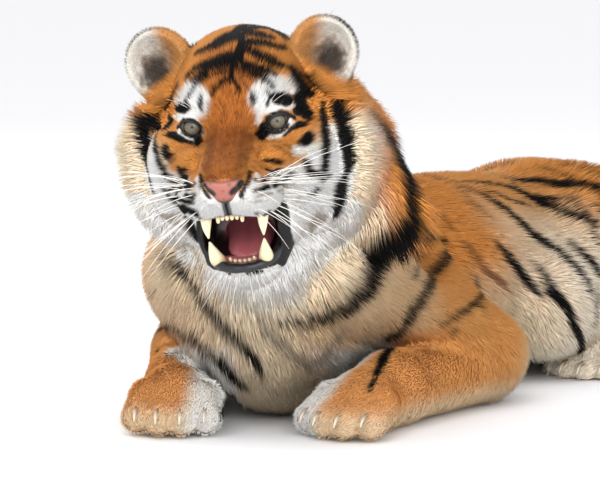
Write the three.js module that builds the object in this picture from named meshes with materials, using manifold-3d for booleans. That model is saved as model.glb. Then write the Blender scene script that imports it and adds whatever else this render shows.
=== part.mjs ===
// A Siberian tiger in winter coat, life size, lying on its chest with its head up, turned and snarling.
// Millimetres, +Z up. The tiger faces -Y, so its left side is +X. It lies on the floor, z = 0.
// The flesh is one soft shape made of ellipsoids and tapered limbs that melt into each other. Each named
// piece is the share of that shape nearest to its own members, with a thin seam to its neighbours.
import * as THREE from "three";
import { mergeVertices } from "three/addons/utils/BufferGeometryUtils.js";
import Module from "manifold-3d";

const wasm = await Module();
wasm.setup();

// ---------- driving dimensions ----------
const SEAM = 5.5; // space left between neighbouring pieces of flesh
const FIT = 0.5; // space left round eyes, teeth, claws and ears
const FLOOR_SNAP = 4; // flesh that comes this near the floor lies flat on it
const SMOOTH = 4; // flesh is thinned to the fewest facets that stay this near
const SWELL = 3; // makes up for what the coarse facets cut off round shapes
const CUT_GROWTH = 3; // how much larger than the flesh its cutter is
const BODY_CELL = 47;
const PAW_CELL = 23;
const TAIL_CELL = 31;
const HEAD_CELL = 22;

const CHEST_TURN = 0.25; // radians: the chest is turned to the tiger's left, towards the onlooker
const CHEST_PIVOT = [0, -60];
const HEAD_PLACE = [168, -520, 484]; // the middle between the eyes
const HEAD_YAW = 0.44;
const HEAD_PITCH = 0.13;
const HEAD_ROLL = 0.087;
const GAPE = 0.43; // the lower jaw's opening angle
const JAW_HINGE = [0, 100, -55]; // in the head's own frame

const EYE_OUT = 64; // from the middle plane to an eye's centre
const EYE_RADIUS = 19.5;
const BACK_HEIGHT = 344;
const HIP = [92, 690, 205];
const SIDES = { L: 1, R: -1 };
const HIND_PAW = 0.9; // a hind paw's size against a forepaw's
const TOES = [-49, -17, 17, 49]; // how far each toe stands to the side, in a paw of size 1
const CLAW_RADII = [4.5, 3.8, 0.8];

// ---------- soft shapes: each is a function of x, y, z that gives the distance to its surface ----------
const softMin = (a, b, k) => {
  const h = Math.max(k - Math.abs(a - b), 0) / k;
  return Math.min(a, b) - (h * h * k) / 4;
};
const softMax = (a, b, k) => -softMin(-a, -b, k);

/** An ellipsoid, turned by Euler angles where given. */
function ball([cx, cy, cz], [rx, ry, rz], turn = null) {
  const m = turn
    ? new THREE.Matrix4().makeRotationFromEuler(new THREE.Euler(...turn)).transpose().elements
    : null;
  return (px, py, pz) => {
    let [x, y, z] = [px - cx, py - cy, pz - cz];
    if (m)
      [x, y, z] = [
        m[0] * x + m[4] * y + m[8] * z,
        m[1] * x + m[5] * y + m[9] * z,
        m[2] * x + m[6] * y + m[10] * z,
      ];
    const near = Math.hypot(x / rx, y / ry, z / rz);
    const steep = Math.hypot(x / (rx * rx), y / (ry * ry), z / (rz * rz));
    return steep < 1e-9 ? -Math.min(rx, ry, rz) : (near * (near - 1)) / steep;
  };
}

/** A round limb from a to b, ra thick at a and rb thick at b. */
function limb(a, b, ra, rb) {
  const [dx, dy, dz] = [b[0] - a[0], b[1] - a[1], b[2] - a[2]];
  const long = dx * dx + dy * dy + dz * dz;
  return (x, y, z) => {
    const [px, py, pz] = [x - a[0], y - a[1], z - a[2]];
    const t = Math.min(1, Math.max(0, (px * dx + py * dy + pz * dz) / long));
    return Math.hypot(px - t * dx, py - t * dy, pz - t * dz) - (ra + t * (rb - ra));
  };
}

/** Shapes melted together; each entry is [shape, melt radius]. */
const melt = (members) => (x, y, z) =>
  members.reduce((d, [shape, k]) => softMin(d, shape(x, y, z), k), 1e4);

/** The half space behind a plane through a point, its normal pointing out. */
function behind(point, normal) {
  const n = new THREE.Vector3(...normal).normalize();
  const w = n.dot(new THREE.Vector3(...point));
  return (x, y, z) => n.x * x + n.y * y + n.z * z - w;
}

/** A shape given in the frame of a matrix, seen from the world. */
function placed(shape, matrix) {
  const m = matrix.clone().invert().elements;
  return (x, y, z) =>
    shape(
      m[0] * x + m[4] * y + m[8] * z + m[12],
      m[1] * x + m[5] * y + m[9] * z + m[13],
      m[2] * x + m[6] * y + m[10] * z + m[14],
    );
}

// ---------- frames ----------
/** A point of the chest, given as if the body were straight. */
function chest(x, y, z) {
  const [c, s] = [Math.cos(CHEST_TURN), Math.sin(CHEST_TURN)];
  const [dx, dy] = [x - CHEST_PIVOT[0], y - CHEST_PIVOT[1]];
  return [CHEST_PIVOT[0] + c * dx - s * dy, CHEST_PIVOT[1] + s * dx + c * dy, z];
}
const headFrame = new THREE.Matrix4()
  .makeRotationFromEuler(new THREE.Euler(HEAD_PITCH, -HEAD_ROLL, HEAD_YAW, "ZXY"))
  .setPosition(...HEAD_PLACE);
const jawFrame = new THREE.Matrix4()
  .makeTranslation(...JAW_HINGE)
  .multiply(new THREE.Matrix4().makeRotationX(GAPE))
  .multiply(new THREE.Matrix4().makeTranslation(...JAW_HINGE.map((v) => -v)));
const inWorld = (point, frame = headFrame) => new THREE.Vector3(...point).applyMatrix4(frame).toArray();

/** A paw's frame: at the wrist or ankle, its toes towards -Y turned by yaw. */
const pawFrame = (place, yaw) => new THREE.Matrix4().makeRotationZ(yaw).setPosition(...place);

// ---------- flesh ----------
const flesh = {};
const pawPlaces = {};

flesh.chest = [
  [ball(chest(0, -110, 184), [176, 270, 186], [0, 0, CHEST_TURN]), 20],
  [ball(chest(0, -250, 178), [140, 150, 150], [0, 0, CHEST_TURN]), 70],
  [ball(chest(0, -170, 300), [92, 170, 70], [0, 0, CHEST_TURN]), 60],
];
flesh.belly = [
  [ball([0, 270, 160], [200, 330, 164]), 60],
  [limb([10, -60, BACK_HEIGHT - 92], [0, 600, BACK_HEIGHT - 104], 92, 88), 60],
];
flesh.rump = [
  [ball([0, 690, 170], [166, 200, 166]), 70],
  [ball([0, 780, 150], [124, 110, 130]), 60],
];
flesh.neck = [
  [limb(chest(0, -210, 276), inWorld([0, 150, -30]), 146, 122), 70],
  [limb(chest(70, -200, 250), inWorld([66, 164, -76]), 120, 118), 60],
  [limb(chest(0, -300, 190), inWorld([0, 118, -128]), 112, 98), 60],
  [ball(inWorld([0, 150, -70]), [172, 92, 150], [HEAD_PITCH, 0, HEAD_YAW]), 60],
  [limb([225, -300, 434], [262, -236, 335], 58, 62), 60], // the mane, bunched where the neck turns
];

// Where each elbow rests and which way its forearm points (radians from -Y towards +X).
const FORELEGS = { L: { elbow: [232, 80, 78], yaw: 0.05 }, R: { elbow: [-186, -96, 78], yaw: 0.5 } };
const FOREARM = 292;
for (const [side, s] of Object.entries(SIDES)) {
  const shoulder = chest(s * 106, -280, 228);
  const { elbow, yaw } = FORELEGS[side];
  const wrist = [elbow[0] + FOREARM * Math.sin(yaw), elbow[1] - FOREARM * Math.cos(yaw), 58];
  flesh["upper_arm_" + side] = [
    [limb(chest(s * 80, -90, 296), shoulder, 66, 80), 60],
    [limb(shoulder, elbow, 80, 66), 50],
    [limb(chest(s * 112, -50, 270), elbow, 70, 56), 50],
    [ball(chest(s * 116, -110, 190), [66, 110, 96], [0, 0, CHEST_TURN]), 40],
    [ball(elbow, [60, 68, 66]), 30],
  ];
  flesh["forearm_" + side] = [[limb([elbow[0], elbow[1] - 34, 68], wrist, 70, 58), 24]];
  flesh["forepaw_" + side] = paw(pawFrame(wrist, yaw), 1);
  pawPlaces["forepaw_" + side] = { place: wrist, yaw, size: 1 };

  const hip = [s * HIP[0], HIP[1], HIP[2]];
  const knee = [s * 190, 350, 120];
  const hock = [s * 222, 680, 50];
  const footYaw = s * 0.03;
  const ankle = [s * 228, 540, 44];
  flesh["thigh_" + side] = [
    [limb(hip, knee, 118, 84), 60],
    [ball([s * 124, 640, 160], [92, 150, 128]), 50],
  ];
  flesh["shank_" + side] = [
    [limb(knee, hock, 78, 44), 40],
    [limb(hock, ankle, 46, 42), 30],
  ];
  flesh["hindpaw_" + side] = paw(pawFrame(ankle, footYaw), HIND_PAW);
  pawPlaces["hindpaw_" + side] = { place: ankle, yaw: footYaw, size: HIND_PAW };
}

const TAIL_BENDS = [
  [0, 850, 180],
  [-50, 960, 84],
  [-170, 1042, 38],
  [-330, 1010, 36],
  [-424, 850, 35],
  [-440, 640, 33],
  [-410, 510, 31],
];
const tailPath = new THREE.CatmullRomCurve3(TAIL_BENDS.map((p) => new THREE.Vector3(...p)));
const TAIL_STEPS = 18;
const tailNames = ["tail_root", "tail_middle", "tail_tip"];
const TAIL_RUN = TAIL_STEPS / tailNames.length; // steps in each length of tail
tailNames.forEach((name, part) => {
  flesh[name] = Array.from({ length: TAIL_RUN }, (_, i) => {
    const [t0, t1] = [(part * TAIL_RUN + i) / TAIL_STEPS, (part * TAIL_RUN + i + 1) / TAIL_STEPS];
    const [a, b] = [tailPath.getPoint(t0).toArray(), tailPath.getPoint(t1).toArray()];
    return [limb(a, b, 56 - 22 * Math.sqrt(t0), 56 - 22 * Math.sqrt(t1)), 12];
  });
});

/** The path of a toe's claw from inside the toe to its tip, in the paw's frame. */
function clawPath(x, toe, size) {
  const reach = toe === 0 || toe === 3 ? -150 : -170;
  return [
    [2, -18],
    [-24, -19],
    [-35, -33],
  ].map(([y, z]) => [x * 1.08 * size, (reach + y) * size, z]);
}

/** The members of a paw: carpus, instep and four toes, flat on the floor. */
function paw(frame, size) {
  const at = (x, y, z) => inWorld([x * size, y * size, z], frame);
  const turn = [0, 0, Math.atan2(frame.elements[1], frame.elements[0])];
  const toes = TOES.map((x, i) => {
    const reach = i === 0 || i === 3 ? -150 : -170;
    return [limb(at(x * 0.86, -96, -6), at(x * 1.06, reach, -30), 32 * size, 28 * size), 9];
  });
  return [
    [limb(at(0, 10, 0), at(0, -50, -6), 58 * size, 54 * size), 20],
    [ball(at(0, -86, -14), [66 * size, 62 * size, 46], turn), 30],
    ...toes,
  ];
}

// ---------- head, in its own frame: the middle between the eyes, nose towards -Y ----------
const both = (make) => [make(1), make(-1)];
const fullHead = melt([
  [ball([0, 96, 16], [108, 128, 113]), 20],
  [ball([0, 26, 4], [66, 58, 56]), 26],
  ...both((s) => [limb([s * 19, 4, -14], [s * 16, -106, -56], 33, 24), 26]),
  [ball([0, -74, -82], [60, 62, 42]), 26],
  ...both((s) => [ball([s * 37, -94, -88], [42, 44, 34]), 18]),
  [ball([0, -116, -66], [30, 22, 24]), 14],
  ...both((s) => [ball([s * 60, 4, 28], [32, 20, 14]), 18]),
  ...both((s) => [ball([s * 56, -36, -46], [30, 36, 30]), 22]),
  ...both((s) => [ball([s * 92, 44, -56], [53, 84, 60]), 34]),
  ...both((s) => [ball([s * 82, 66, -118], [56, 76, 70]), 40]),
  [ball([112, 104, -88], [64, 58, 104], [0, 0.12, 0]), 50],
  [ball([-127, 104, -88], [68, 58, 104], [0, -0.12, 0]), 50],
]);
const orbits = melt(both((s) => [ball([s * 70, -38, -2], [30, 27, 19]), 4]));
const upperHead = (x, y, z) => softMax(fullHead(x, y, z), -orbits(x, y, z), 14);
const jawBody = melt([
  ...both((s) => [limb([s * 60, 62, -112], [s * 34, -72, -136], 40, 28), 24]),
  [ball([0, -70, -150], [48, 40, 36]), 24],
  [ball([0, 0, -152], [54, 80, 34]), 30],
]);
const intoJaw = (shape) => placed(shape, jawFrame);
const cheeks = melt(both((s) => [limb([s * 66, 48, -96], [s * 58, -18, -150], 42, 30), 20]));

/** The space between the jaws: under the palate, above the jaw's floor and between the cheeks. */
function mouthSpace(x, y, z) {
  const vault = -z - 112 - 0.004 * x * x;
  const floor = intoJaw((jx, jy, jz) => -(jz + 124))(x, y, z);
  const wall = Math.abs(x) - (57 - 0.1 * Math.max(0, y + 60));
  const throat = y - 34;
  return softMax(softMax(-vault, floor, 14), softMax(wall, throat, 30), 20);
}
const jawShape = softMinOf(intoJaw(jawBody), cheeks, 26);
function softMinOf(a, b, k) {
  return (x, y, z) => softMin(a(x, y, z), b(x, y, z), k);
}
const openHead = (x, y, z) =>
  softMax(softMin(upperHead(x, y, z), jawShape(x, y, z), 30), -mouthSpace(x, y, z), 6);

const earShape = (s) => {
  const shell = ball([s * 125, 112, 78], [55, 31, 59], [0, s * 0.3, 0]);
  const cup = ball([s * 130, 84, 83], [42, 36, 46], [0, s * 0.3, 0]);
  return (x, y, z) => softMax(shell(x, y, z), -cup(x, y, z), 5);
};
const noseShape = melt([
  [ball([0, -136, -58], [31, 15, 13]), 4],
  [ball([0, -136, -70], [17, 13, 15]), 10],
]);
const tongueShape = melt([
  [ball([4, -10, -124], [33, 62, 17]), 4],
  [ball([4, -66, -122], [25, 26, 12]), 14],
]);

// Teeth: the path of each from its root to its tip, with its radius along the way.
const CANINE_RADII = [8.5, 9, 6.5, 1.2];
const upperCanine = (s) => [[s * 42, -92, -88], [s * 44, -104, -114], [s * 43, -108, -138], [s * 40, -103, -158]];
const lowerCanine = (s) => [[s * 33, -82, -138], [s * 35, -96, -116], [s * 37, -101, -96], [s * 37, -99, -77]];

/** A row of six incisors standing on a strip of gum; drop is the way they point along z. */
const incisorRow = (front, gumZ, drop, grow = 0) => {
  const place = (n) => [n * 7.4, front + 0.012 * (n * 7.4) ** 2, gumZ];
  const teeth = [-2.5, -1.5, -0.5, 0.5, 1.5, 2.5].map((n) => {
    const [x, y, z] = place(n);
    return horn([[x, y + 2, z], [x, y, z + drop * 0.6], [x, y - 1, z + drop]], [3.6, 3.6, 2.4], 4, grow);
  });
  const gum = horn([-3, -1.5, 0, 1.5, 3].map((n) => place(n)), [7, 7, 7, 7, 7], 6, grow);
  return teeth.reduce((all, tooth) => all.add(tooth), gum);
};

// ---------- from soft shapes to solids ----------
/** Even steps from low to high, about cell apart. */
function steps(low, high, cell) {
  const n = Math.ceil((high - low) / cell);
  return Array.from({ length: n + 1 }, (_, i) => low + ((high - low) * i) / n);
}

/** A shape's value at each point of a grid. */
function sample(shape, [xs, ys, zs]) {
  const value = new Float64Array(xs.length * ys.length * zs.length);
  let n = 0;
  for (const x of xs) for (const y of ys) for (const z of zs) value[n++] = shape(x, y, z);
  return value;
}

const CORNERS = [0, 1, 2, 3, 4, 5, 6, 7].map((c) => [c & 1, (c >> 1) & 1, (c >> 2) & 1]);
const EDGES = CORNERS.flatMap((_, a) => [0, 1, 2].filter((n) => !(a & (1 << n))).map((n) => [a, a | (1 << n), n]));
const edgeAlong = (n, corner) => EDGES.findIndex(([a, , axis]) => a === corner && axis === n);
// Each face of a cell as its four corners in a ring.
const FACES = [0, 1, 2].flatMap((n) =>
  [0, 1].map((high) => {
    const [p, q] = [0, 1, 2].filter((m) => m !== n).map((m) => 1 << m);
    const base = high << n;
    return [base, base | p, base | p | q, base | q];
  }),
);

/** Groups a cell's crossed edges: each group is one sheet of surface that passes through the cell. */
function sheetsOf(inside) {
  const group = EDGES.map((_, i) => i);
  const root = (i) => (group[i] === i ? i : (group[i] = root(group[i])));
  const edgeOf = (a, b) => EDGES.findIndex(([p, q]) => p === Math.min(a, b) && q === Math.max(a, b));
  for (const ring of FACES) {
    const crossed = [0, 1, 2, 3].filter((n) => inside[ring[n]] !== inside[ring[(n + 1) % 4]]);
    const edge = crossed.map((n) => edgeOf(ring[n], ring[(n + 1) % 4]));
    if (edge.length === 2) group[root(edge[0])] = root(edge[1]);
    if (edge.length === 4) {
      // The two inside corners of the face stay apart: each is cut off by the edges on its two sides.
      const first = inside[ring[0]] ? [[3, 0], [1, 2]] : [[0, 1], [2, 3]];
      for (const [p, q] of first) group[root(edge[p])] = root(edge[q]);
    }
  }
  return EDGES.map((_, i) => root(i));
}

/** The closed surface where sampled values cross zero: one vertex for each sheet in a grid cell. */
function surfaceOf(value, [xs, ys, zs], floorSnap = -Infinity) {
  const [nx, ny, nz] = [xs.length, ys.length, zs.length];
  const at = (i, j, k) => (i * ny + j) * nz + k;
  const places = [];
  const vertexOn = new Map();
  for (let i = 0; i + 1 < nx; i++)
    for (let j = 0; j + 1 < ny; j++)
      for (let k = 0; k + 1 < nz; k++) {
        const v = CORNERS.map(([a, b, c]) => value[at(i + a, j + b, k + c)]);
        const inside = v.map((d) => d < 0);
        if (inside.every((x) => x === inside[0])) continue;
        const sheet = sheetsOf(inside);
        const sums = new Map();
        EDGES.forEach(([a, b], e) => {
          if (inside[a] === inside[b]) return;
          const t = v[a] / (v[a] - v[b]);
          const [p, q] = [CORNERS[a], CORNERS[b]];
          const sum = sums.get(sheet[e]) || [0, 0, 0, 0];
          sum[0] += xs[i + p[0]] + t * (xs[i + q[0]] - xs[i + p[0]]);
          sum[1] += ys[j + p[1]] + t * (ys[j + q[1]] - ys[j + p[1]]);
          sum[2] += zs[k + p[2]] + t * (zs[k + q[2]] - zs[k + p[2]]);
          sum[3]++;
          sums.set(sheet[e], sum);
        });
        const number = new Map();
        for (const [key, sum] of sums) {
          number.set(key, places.length);
          const [x, y, z] = sum.map((w) => w / sum[3]);
          places.push([x, y, z < floorSnap ? 0 : z]);
        }
        EDGES.forEach(([a, b], e) => {
          if (inside[a] !== inside[b]) vertexOn.set(at(i, j, k) * 12 + e, number.get(sheet[e]));
        });
      }

  const faces = [];
  const quad = ([a, b, c, d], flip) => {
    if (flip) faces.push([c, b, a], [d, c, a]);
    else faces.push([a, b, c], [a, c, d]);
  };
  // Round the edge from a grid point along each axis lie four cells; the edge is another corner's in each.
  const AROUND = [
    [[0, 1, 1], [0, 0, 1], [0, 0, 0], [0, 1, 0]],
    [[1, 0, 1], [1, 0, 0], [0, 0, 0], [0, 0, 1]],
    [[1, 1, 0], [0, 1, 0], [0, 0, 0], [1, 0, 0]],
  ];
  for (let i = 1; i + 1 < nx; i++)
    for (let j = 1; j + 1 < ny; j++)
      for (let k = 1; k + 1 < nz; k++) {
        const here = value[at(i, j, k)] < 0;
        [at(i + 1, j, k), at(i, j + 1, k), at(i, j, k + 1)].forEach((next, n) => {
          if (here === value[next] < 0) return;
          const ring = AROUND[n].map(([a, b, c]) => {
            const corner = a | (b << 1) | (c << 2);
            return vertexOn.get(at(i - a, j - b, k - c) * 12 + edgeAlong(n, corner));
          });
          quad(ring, !here);
        });
      }
  return largestBody(places, faces);
}

/** The body with the most faces, as a three.js geometry. */
function largestBody(places, faces) {
  const parent = places.map((_, i) => i);
  const root = (i) => {
    while (parent[i] !== i) i = parent[i] = parent[parent[i]];
    return i;
  };
  for (const [a, b, c] of faces) {
    parent[root(a)] = root(b);
    parent[root(b)] = root(c);
  }
  const count = new Map();
  for (const [a] of faces) count.set(root(a), (count.get(root(a)) || 0) + 1);
  const best = [...count].sort((p, q) => q[1] - p[1])[0][0];
  const kept = faces.filter(([a]) => root(a) === best);
  return geometryOf(places, kept);
}

function geometryOf(places, faces) {
  const number = new Map();
  const points = [];
  const index = faces.flat().map((i) => {
    if (!number.has(i)) {
      number.set(i, points.length / 3);
      points.push(...places[i]);
    }
    return number.get(i);
  });
  return new THREE.BufferGeometry()
    .setAttribute("position", new THREE.Float32BufferAttribute(points, 3))
    .setIndex(index);
}

/** A three.js geometry as a manifold-3d solid. */
function solid(geometry) {
  const bare = geometry.clone();
  for (const name of ["normal", "uv"]) bare.deleteAttribute(name);
  const merged = mergeVertices(bare, 1e-3);
  return new wasm.Manifold(
    new wasm.Mesh({
      numProp: 3,
      vertProperties: merged.attributes.position.array,
      triVerts: new Uint32Array(merged.index.array),
    }),
  );
}

/** A manifold-3d solid as a three.js geometry; of several bodies only the largest is kept. */
function geometryFrom(made) {
  const body = made.decompose().sort((a, b) => b.volume() - a.volume())[0];
  const mesh = body.getMesh();
  const points = [];
  for (let i = 0; i < mesh.numVert; i++)
    points.push(...mesh.vertProperties.slice(i * mesh.numProp, i * mesh.numProp + 3));
  return new THREE.BufferGeometry()
    .setAttribute("position", new THREE.Float32BufferAttribute(points, 3))
    .setIndex([...mesh.triVerts]);
}

/** A round horn along a path, as a solid: rings of the given radii, closed at both ends. */
function horn(path, radii, sides = 8, grow = 0) {
  const at = path.map((p) => new THREE.Vector3(...p));
  const along = at.map((p, i) => at[Math.min(i + 1, at.length - 1)].clone().sub(at[Math.max(i - 1, 0)]).normalize());
  const across = new THREE.Vector3(along[0].y, along[0].z, along[0].x).cross(along[0]).normalize();
  at[0].addScaledVector(along[0], -grow);
  at[at.length - 1].addScaledVector(along[at.length - 1], grow);
  const points = at.flatMap((p, i) => {
    const u = across.clone().addScaledVector(along[i], -across.dot(along[i])).normalize();
    const v = along[i].clone().cross(u);
    return Array.from({ length: sides }, (_, n) => {
      const turn = (2 * Math.PI * n) / sides;
      const out = u.clone().multiplyScalar(Math.cos(turn)).addScaledVector(v, Math.sin(turn));
      return p.clone().addScaledVector(out, radii[i] + grow).toArray();
    });
  });
  const last = at.length - 1;
  const faces = [];
  for (let n = 0; n < sides; n++) {
    const next = (n + 1) % sides;
    for (let i = 0; i < last; i++) {
      const [a, b] = [i * sides + n, i * sides + next];
      faces.push([a, b, b + sides], [a, b + sides, a + sides]);
    }
    if (n > 0 && n + 1 < sides) {
      faces.push([0, next, n], [last * sides, last * sides + n, last * sides + next]);
    }
  }
  return solid(geometryOf(points, faces));
}

// ---------- finishes ----------
const finish = (color, roughness, metalness = 0) =>
  new THREE.MeshStandardMaterial({ color, roughness, metalness });
const orangeCoat = finish(0xc98a45, 0.95);
const paleCoat = finish(0xd9cdb4, 0.95);
const earCoat = finish(0xb98a5a, 0.95);
const eyeGlass = finish(0x8d8a6b, 0.1);
const noseSkin = finish(0xc4796b, 0.5);
const toothBone = finish(0xe6d9ae, 0.3);
const tongueSkin = finish(0x8c4352, 0.5);
const clawHorn = finish(0xcfc3aa, 0.4);

// ---------- pieces ----------
const tiger = new THREE.Group();
const pieces = []; // every piece as { name, body, material }, in the tiger's frame

const grounded = (shape) => (x, y, z) => Math.max(shape(x, y, z), -z);
const fleshShapes = Object.fromEntries(Object.entries(flesh).map(([name, members]) => [name, melt(members)]));
const bodyShape = melt(Object.values(flesh).flat());
const neckInHead = placed(bodyShape, headFrame.clone().invert());
const NAPE = behind([0, 146, 0], [0, 0.97, -0.22]); // parts the head from the neck, in the head's frame
const nape = placed(NAPE, headFrame);
const wholeHead = (x, y, z) => softMin(neckInHead(x, y, z), openHead(x, y, z), 40);
const swollen = placed(wholeHead, headFrame);
const wholeBody = grounded((x, y, z) => swollen(x, y, z) - SWELL);

/** Grid lines round a box, one cell beyond it on each side. */
const gridOver = (low, high, cell) =>
  [0, 1, 2].map((n) => steps(low[n] - cell, high[n] + cell, cell));

/** Each piece of flesh on one shared grid, so that neighbours part along the same cells. */
function piecesOf(names, grid, seam) {
  const all = Object.entries(fleshShapes);
  const samples = new Map(all.map(([name, shape]) => [name, sample(shape, grid)]));
  const whole = sample(wholeBody, grid);
  const neckSide = sample(nape, grid);
  return names.map((name) => {
    const own = samples.get(name);
    const others = all.filter(([other]) => other !== name).map(([other]) => samples.get(other));
    const share = whole.map((d, i) => {
      let nearest = 1e4;
      for (const other of others) if (other[i] < nearest) nearest = other[i];
      return Math.max(d, own[i] - nearest + seam, -neckSide[i] + SEAM);
    });
    return [name, solid(surfaceOf(share, grid, FLOOR_SNAP)).simplify(SMOOTH)];
  });
}

const BODY_LOW = [-520, -700, -14];
const BODY_HIGH = [400, 1110, 640];
const pawNames = Object.keys(pawPlaces);
const bodyNames = Object.keys(flesh).filter((name) => !pawNames.includes(name) && !tailNames.includes(name));
const materialOf = (name) => (name === "neck" || name === "belly" ? paleCoat : orangeCoat);
for (const [name, body] of piecesOf(bodyNames, gridOver(BODY_LOW, BODY_HIGH, BODY_CELL), SEAM))
  pieces.push({ name, body, material: materialOf(name) });

// Each length of tail, on a finer grid of its own.
tailNames.forEach((name, part) => {
  const course = tailPath.getPoints(TAIL_STEPS).slice(part * TAIL_RUN, (part + 1) * TAIL_RUN + 1);
  const box = new THREE.Box3().setFromPoints(course).expandByScalar(75);
  const grid = gridOver([box.min.x, box.min.y, -8], box.max.toArray(), TAIL_CELL);
  const [[, body]] = piecesOf([name], grid, 1.5 * SEAM);
  pieces.push({ name, body, material: orangeCoat });
});

// Each paw, with claws in sockets at the ends of its toes.
for (const name of pawNames) {
  const { place, yaw, size } = pawPlaces[name];
  const low = [place[0] - 150, place[1] - 250, -8];
  const high = [place[0] + 150, place[1] + 100, 130];
  let [[, body]] = piecesOf([name], gridOver(low, high, PAW_CELL), 1.5 * SEAM);
  const frame = pawFrame(place, yaw);
  TOES.forEach((x, toe) => {
    const path = clawPath(x, toe, size).map((p) => inWorld(p, frame));
    body = body.subtract(horn(path, CLAW_RADII, 5, FIT));
    pieces.push({
      name: name.replace("forepaw", "claw_fore").replace("hindpaw", "claw_hind") + "_" + (toe + 1),
      body: horn(path, CLAW_RADII, 5),
      material: clawHorn,
    });
  });
  pieces.push({ name, body, material: orangeCoat });
}

// The head is meshed in its own frame, finer towards the muzzle, and parted from the lower jaw.
const HEAD_GRID = [
  steps(-225, 225, HEAD_CELL),
  [...steps(-185, -60, HEAD_CELL * 0.75), ...steps(-45, 200, HEAD_CELL * 1.1)],
  steps(-345, 165, HEAD_CELL),
];
const jawRegion = intoJaw((x, y, z) => Math.max(z + 106 - 0.1 * y, y - 62));
const headValues = sample(
  (x, y, z) => Math.max(wholeHead(x, y, z) - SWELL / 3, NAPE(x, y, z) + SEAM),
  HEAD_GRID,
);
const jawSide = sample(jawRegion, HEAD_GRID);
const headShare = (sign, grow) =>
  solid(surfaceOf(headValues.map((d, i) => Math.max(d, sign * jawSide[i] + SEAM) - grow), HEAD_GRID));
const intoHead = (body) => body.transform(jawFrame.elements);

const earCell = 17;
const makeEar = (s) => {
  const grid = gridOver([s * 122 - 70, 70, 0], [s * 122 + 70, 160, 140], earCell);
  const ear = (x, y, z) => Math.max(earShape(s)(x, y, z), NAPE(x, y, z) + SEAM);
  return solid(surfaceOf(sample(ear, grid), grid));
};
const meshed = (shape, low, high, cell) => {
  const grid = gridOver(low, high, cell);
  return solid(surfaceOf(sample(shape, grid), grid));
};

let upper = headShare(-1, 0).simplify(SMOOTH);
let lower = headShare(1, 0).simplify(SMOOTH);
const cutter = headShare(-1, CUT_GROWTH).add(headShare(1, CUT_GROWTH));
const inHead = [];
for (const [side, s] of Object.entries(SIDES)) {
  const ball = new THREE.SphereGeometry(1, 14, 9).rotateX(Math.PI / 2);
  const eyeball = (r) => solid(ball.clone().scale(r, r, r).translate(s * EYE_OUT, 0, 0));
  upper = upper.subtract(eyeball(EYE_RADIUS + FIT));
  inHead.push({ name: "eye_" + side, body: eyeball(EYE_RADIUS), material: eyeGlass });

  upper = upper.subtract(horn(upperCanine(s), CANINE_RADII, 8, FIT));
  inHead.push({ name: "upper_canine_" + side, body: horn(upperCanine(s), CANINE_RADII), material: toothBone });

  lower = lower.subtract(intoHead(horn(lowerCanine(s), CANINE_RADII, 8, FIT)));
  const lowerTooth = intoHead(horn(lowerCanine(s), CANINE_RADII));
  inHead.push({ name: "lower_canine_" + side, body: lowerTooth, material: toothBone });

  inHead.push({ name: "ear_" + side, body: makeEar(s).subtract(cutter), material: earCoat });
}
const nose = meshed(noseShape, [-45, -165, -100], [45, -115, -35], 8.5).subtract(cutter);
inHead.push({ name: "nose", body: nose, material: noseSkin });
const tongue = intoHead(meshed(tongueShape, [-45, -100, -150], [50, 60, -95], 13)).subtract(cutter);
inHead.push({ name: "tongue", body: tongue, material: tongueSkin });
const upperRow = (grow) => incisorRow(-118, -107, -14, grow);
const lowerRow = (grow) => intoHead(incisorRow(-102, -119, 12, grow));
inHead.push({ name: "upper_incisors", body: upperRow(0), material: toothBone });
inHead.push({ name: "lower_incisors", body: lowerRow(0), material: toothBone });
inHead.push({ name: "head", body: upper.subtract(upperRow(FIT)).simplify(FIT / 2), material: orangeCoat });
inHead.push({ name: "lower_jaw", body: lower.subtract(lowerRow(FIT)).simplify(FIT / 2), material: paleCoat });
for (const piece of inHead) pieces.push({ ...piece, body: piece.body.transform(headFrame.elements) });

// ---------- assembly: the origin under the middle of the whole animal ----------
for (const { name, body, material } of pieces) {
  const mesh = new THREE.Mesh(geometryFrom(body), material);
  mesh.name = name;
  tiger.add(mesh);
}
const middle = new THREE.Box3().setFromObject(tiger).getCenter(new THREE.Vector3());
for (const mesh of tiger.children) mesh.geometry.translate(-middle.x, -middle.y, 0);

export default tiger;
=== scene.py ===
"""A Siberian tiger in winter coat, lying on its chest with its head up, turned and snarling.

Shapes are worked out in millimetres in the animal's own frame, where it faces -Y with its left side
towards +X, and are moved into the library's frame, in metres, as each mesh is made.
"""
import logging
import math
from dataclasses import dataclass, field
from enum import Enum
from itertools import product
from typing import Callable, Dict, List, Optional, Sequence, Tuple

import bmesh
import bpy
import numpy as np
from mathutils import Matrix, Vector
from mathutils.bvhtree import BVHTree


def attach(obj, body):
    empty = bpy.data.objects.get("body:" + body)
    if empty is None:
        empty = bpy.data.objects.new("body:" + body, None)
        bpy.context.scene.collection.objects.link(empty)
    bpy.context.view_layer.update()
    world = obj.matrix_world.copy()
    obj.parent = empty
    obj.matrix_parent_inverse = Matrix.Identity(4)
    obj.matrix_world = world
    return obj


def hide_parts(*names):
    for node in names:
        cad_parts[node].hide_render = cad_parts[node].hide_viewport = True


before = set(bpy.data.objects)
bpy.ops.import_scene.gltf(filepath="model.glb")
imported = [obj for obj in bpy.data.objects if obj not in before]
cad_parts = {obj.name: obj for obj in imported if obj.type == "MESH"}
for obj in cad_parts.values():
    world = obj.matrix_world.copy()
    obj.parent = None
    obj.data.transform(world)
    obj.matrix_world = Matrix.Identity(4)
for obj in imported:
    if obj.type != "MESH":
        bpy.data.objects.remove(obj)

LOG = logging.getLogger("tiger")
Array = np.ndarray
Point = Tuple[float, float, float]
Shape = Callable[[Array], Array]
Member = Tuple[Shape, float]  # a soft shape and its melt radius
Faces = Sequence[Sequence[int]]
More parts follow.
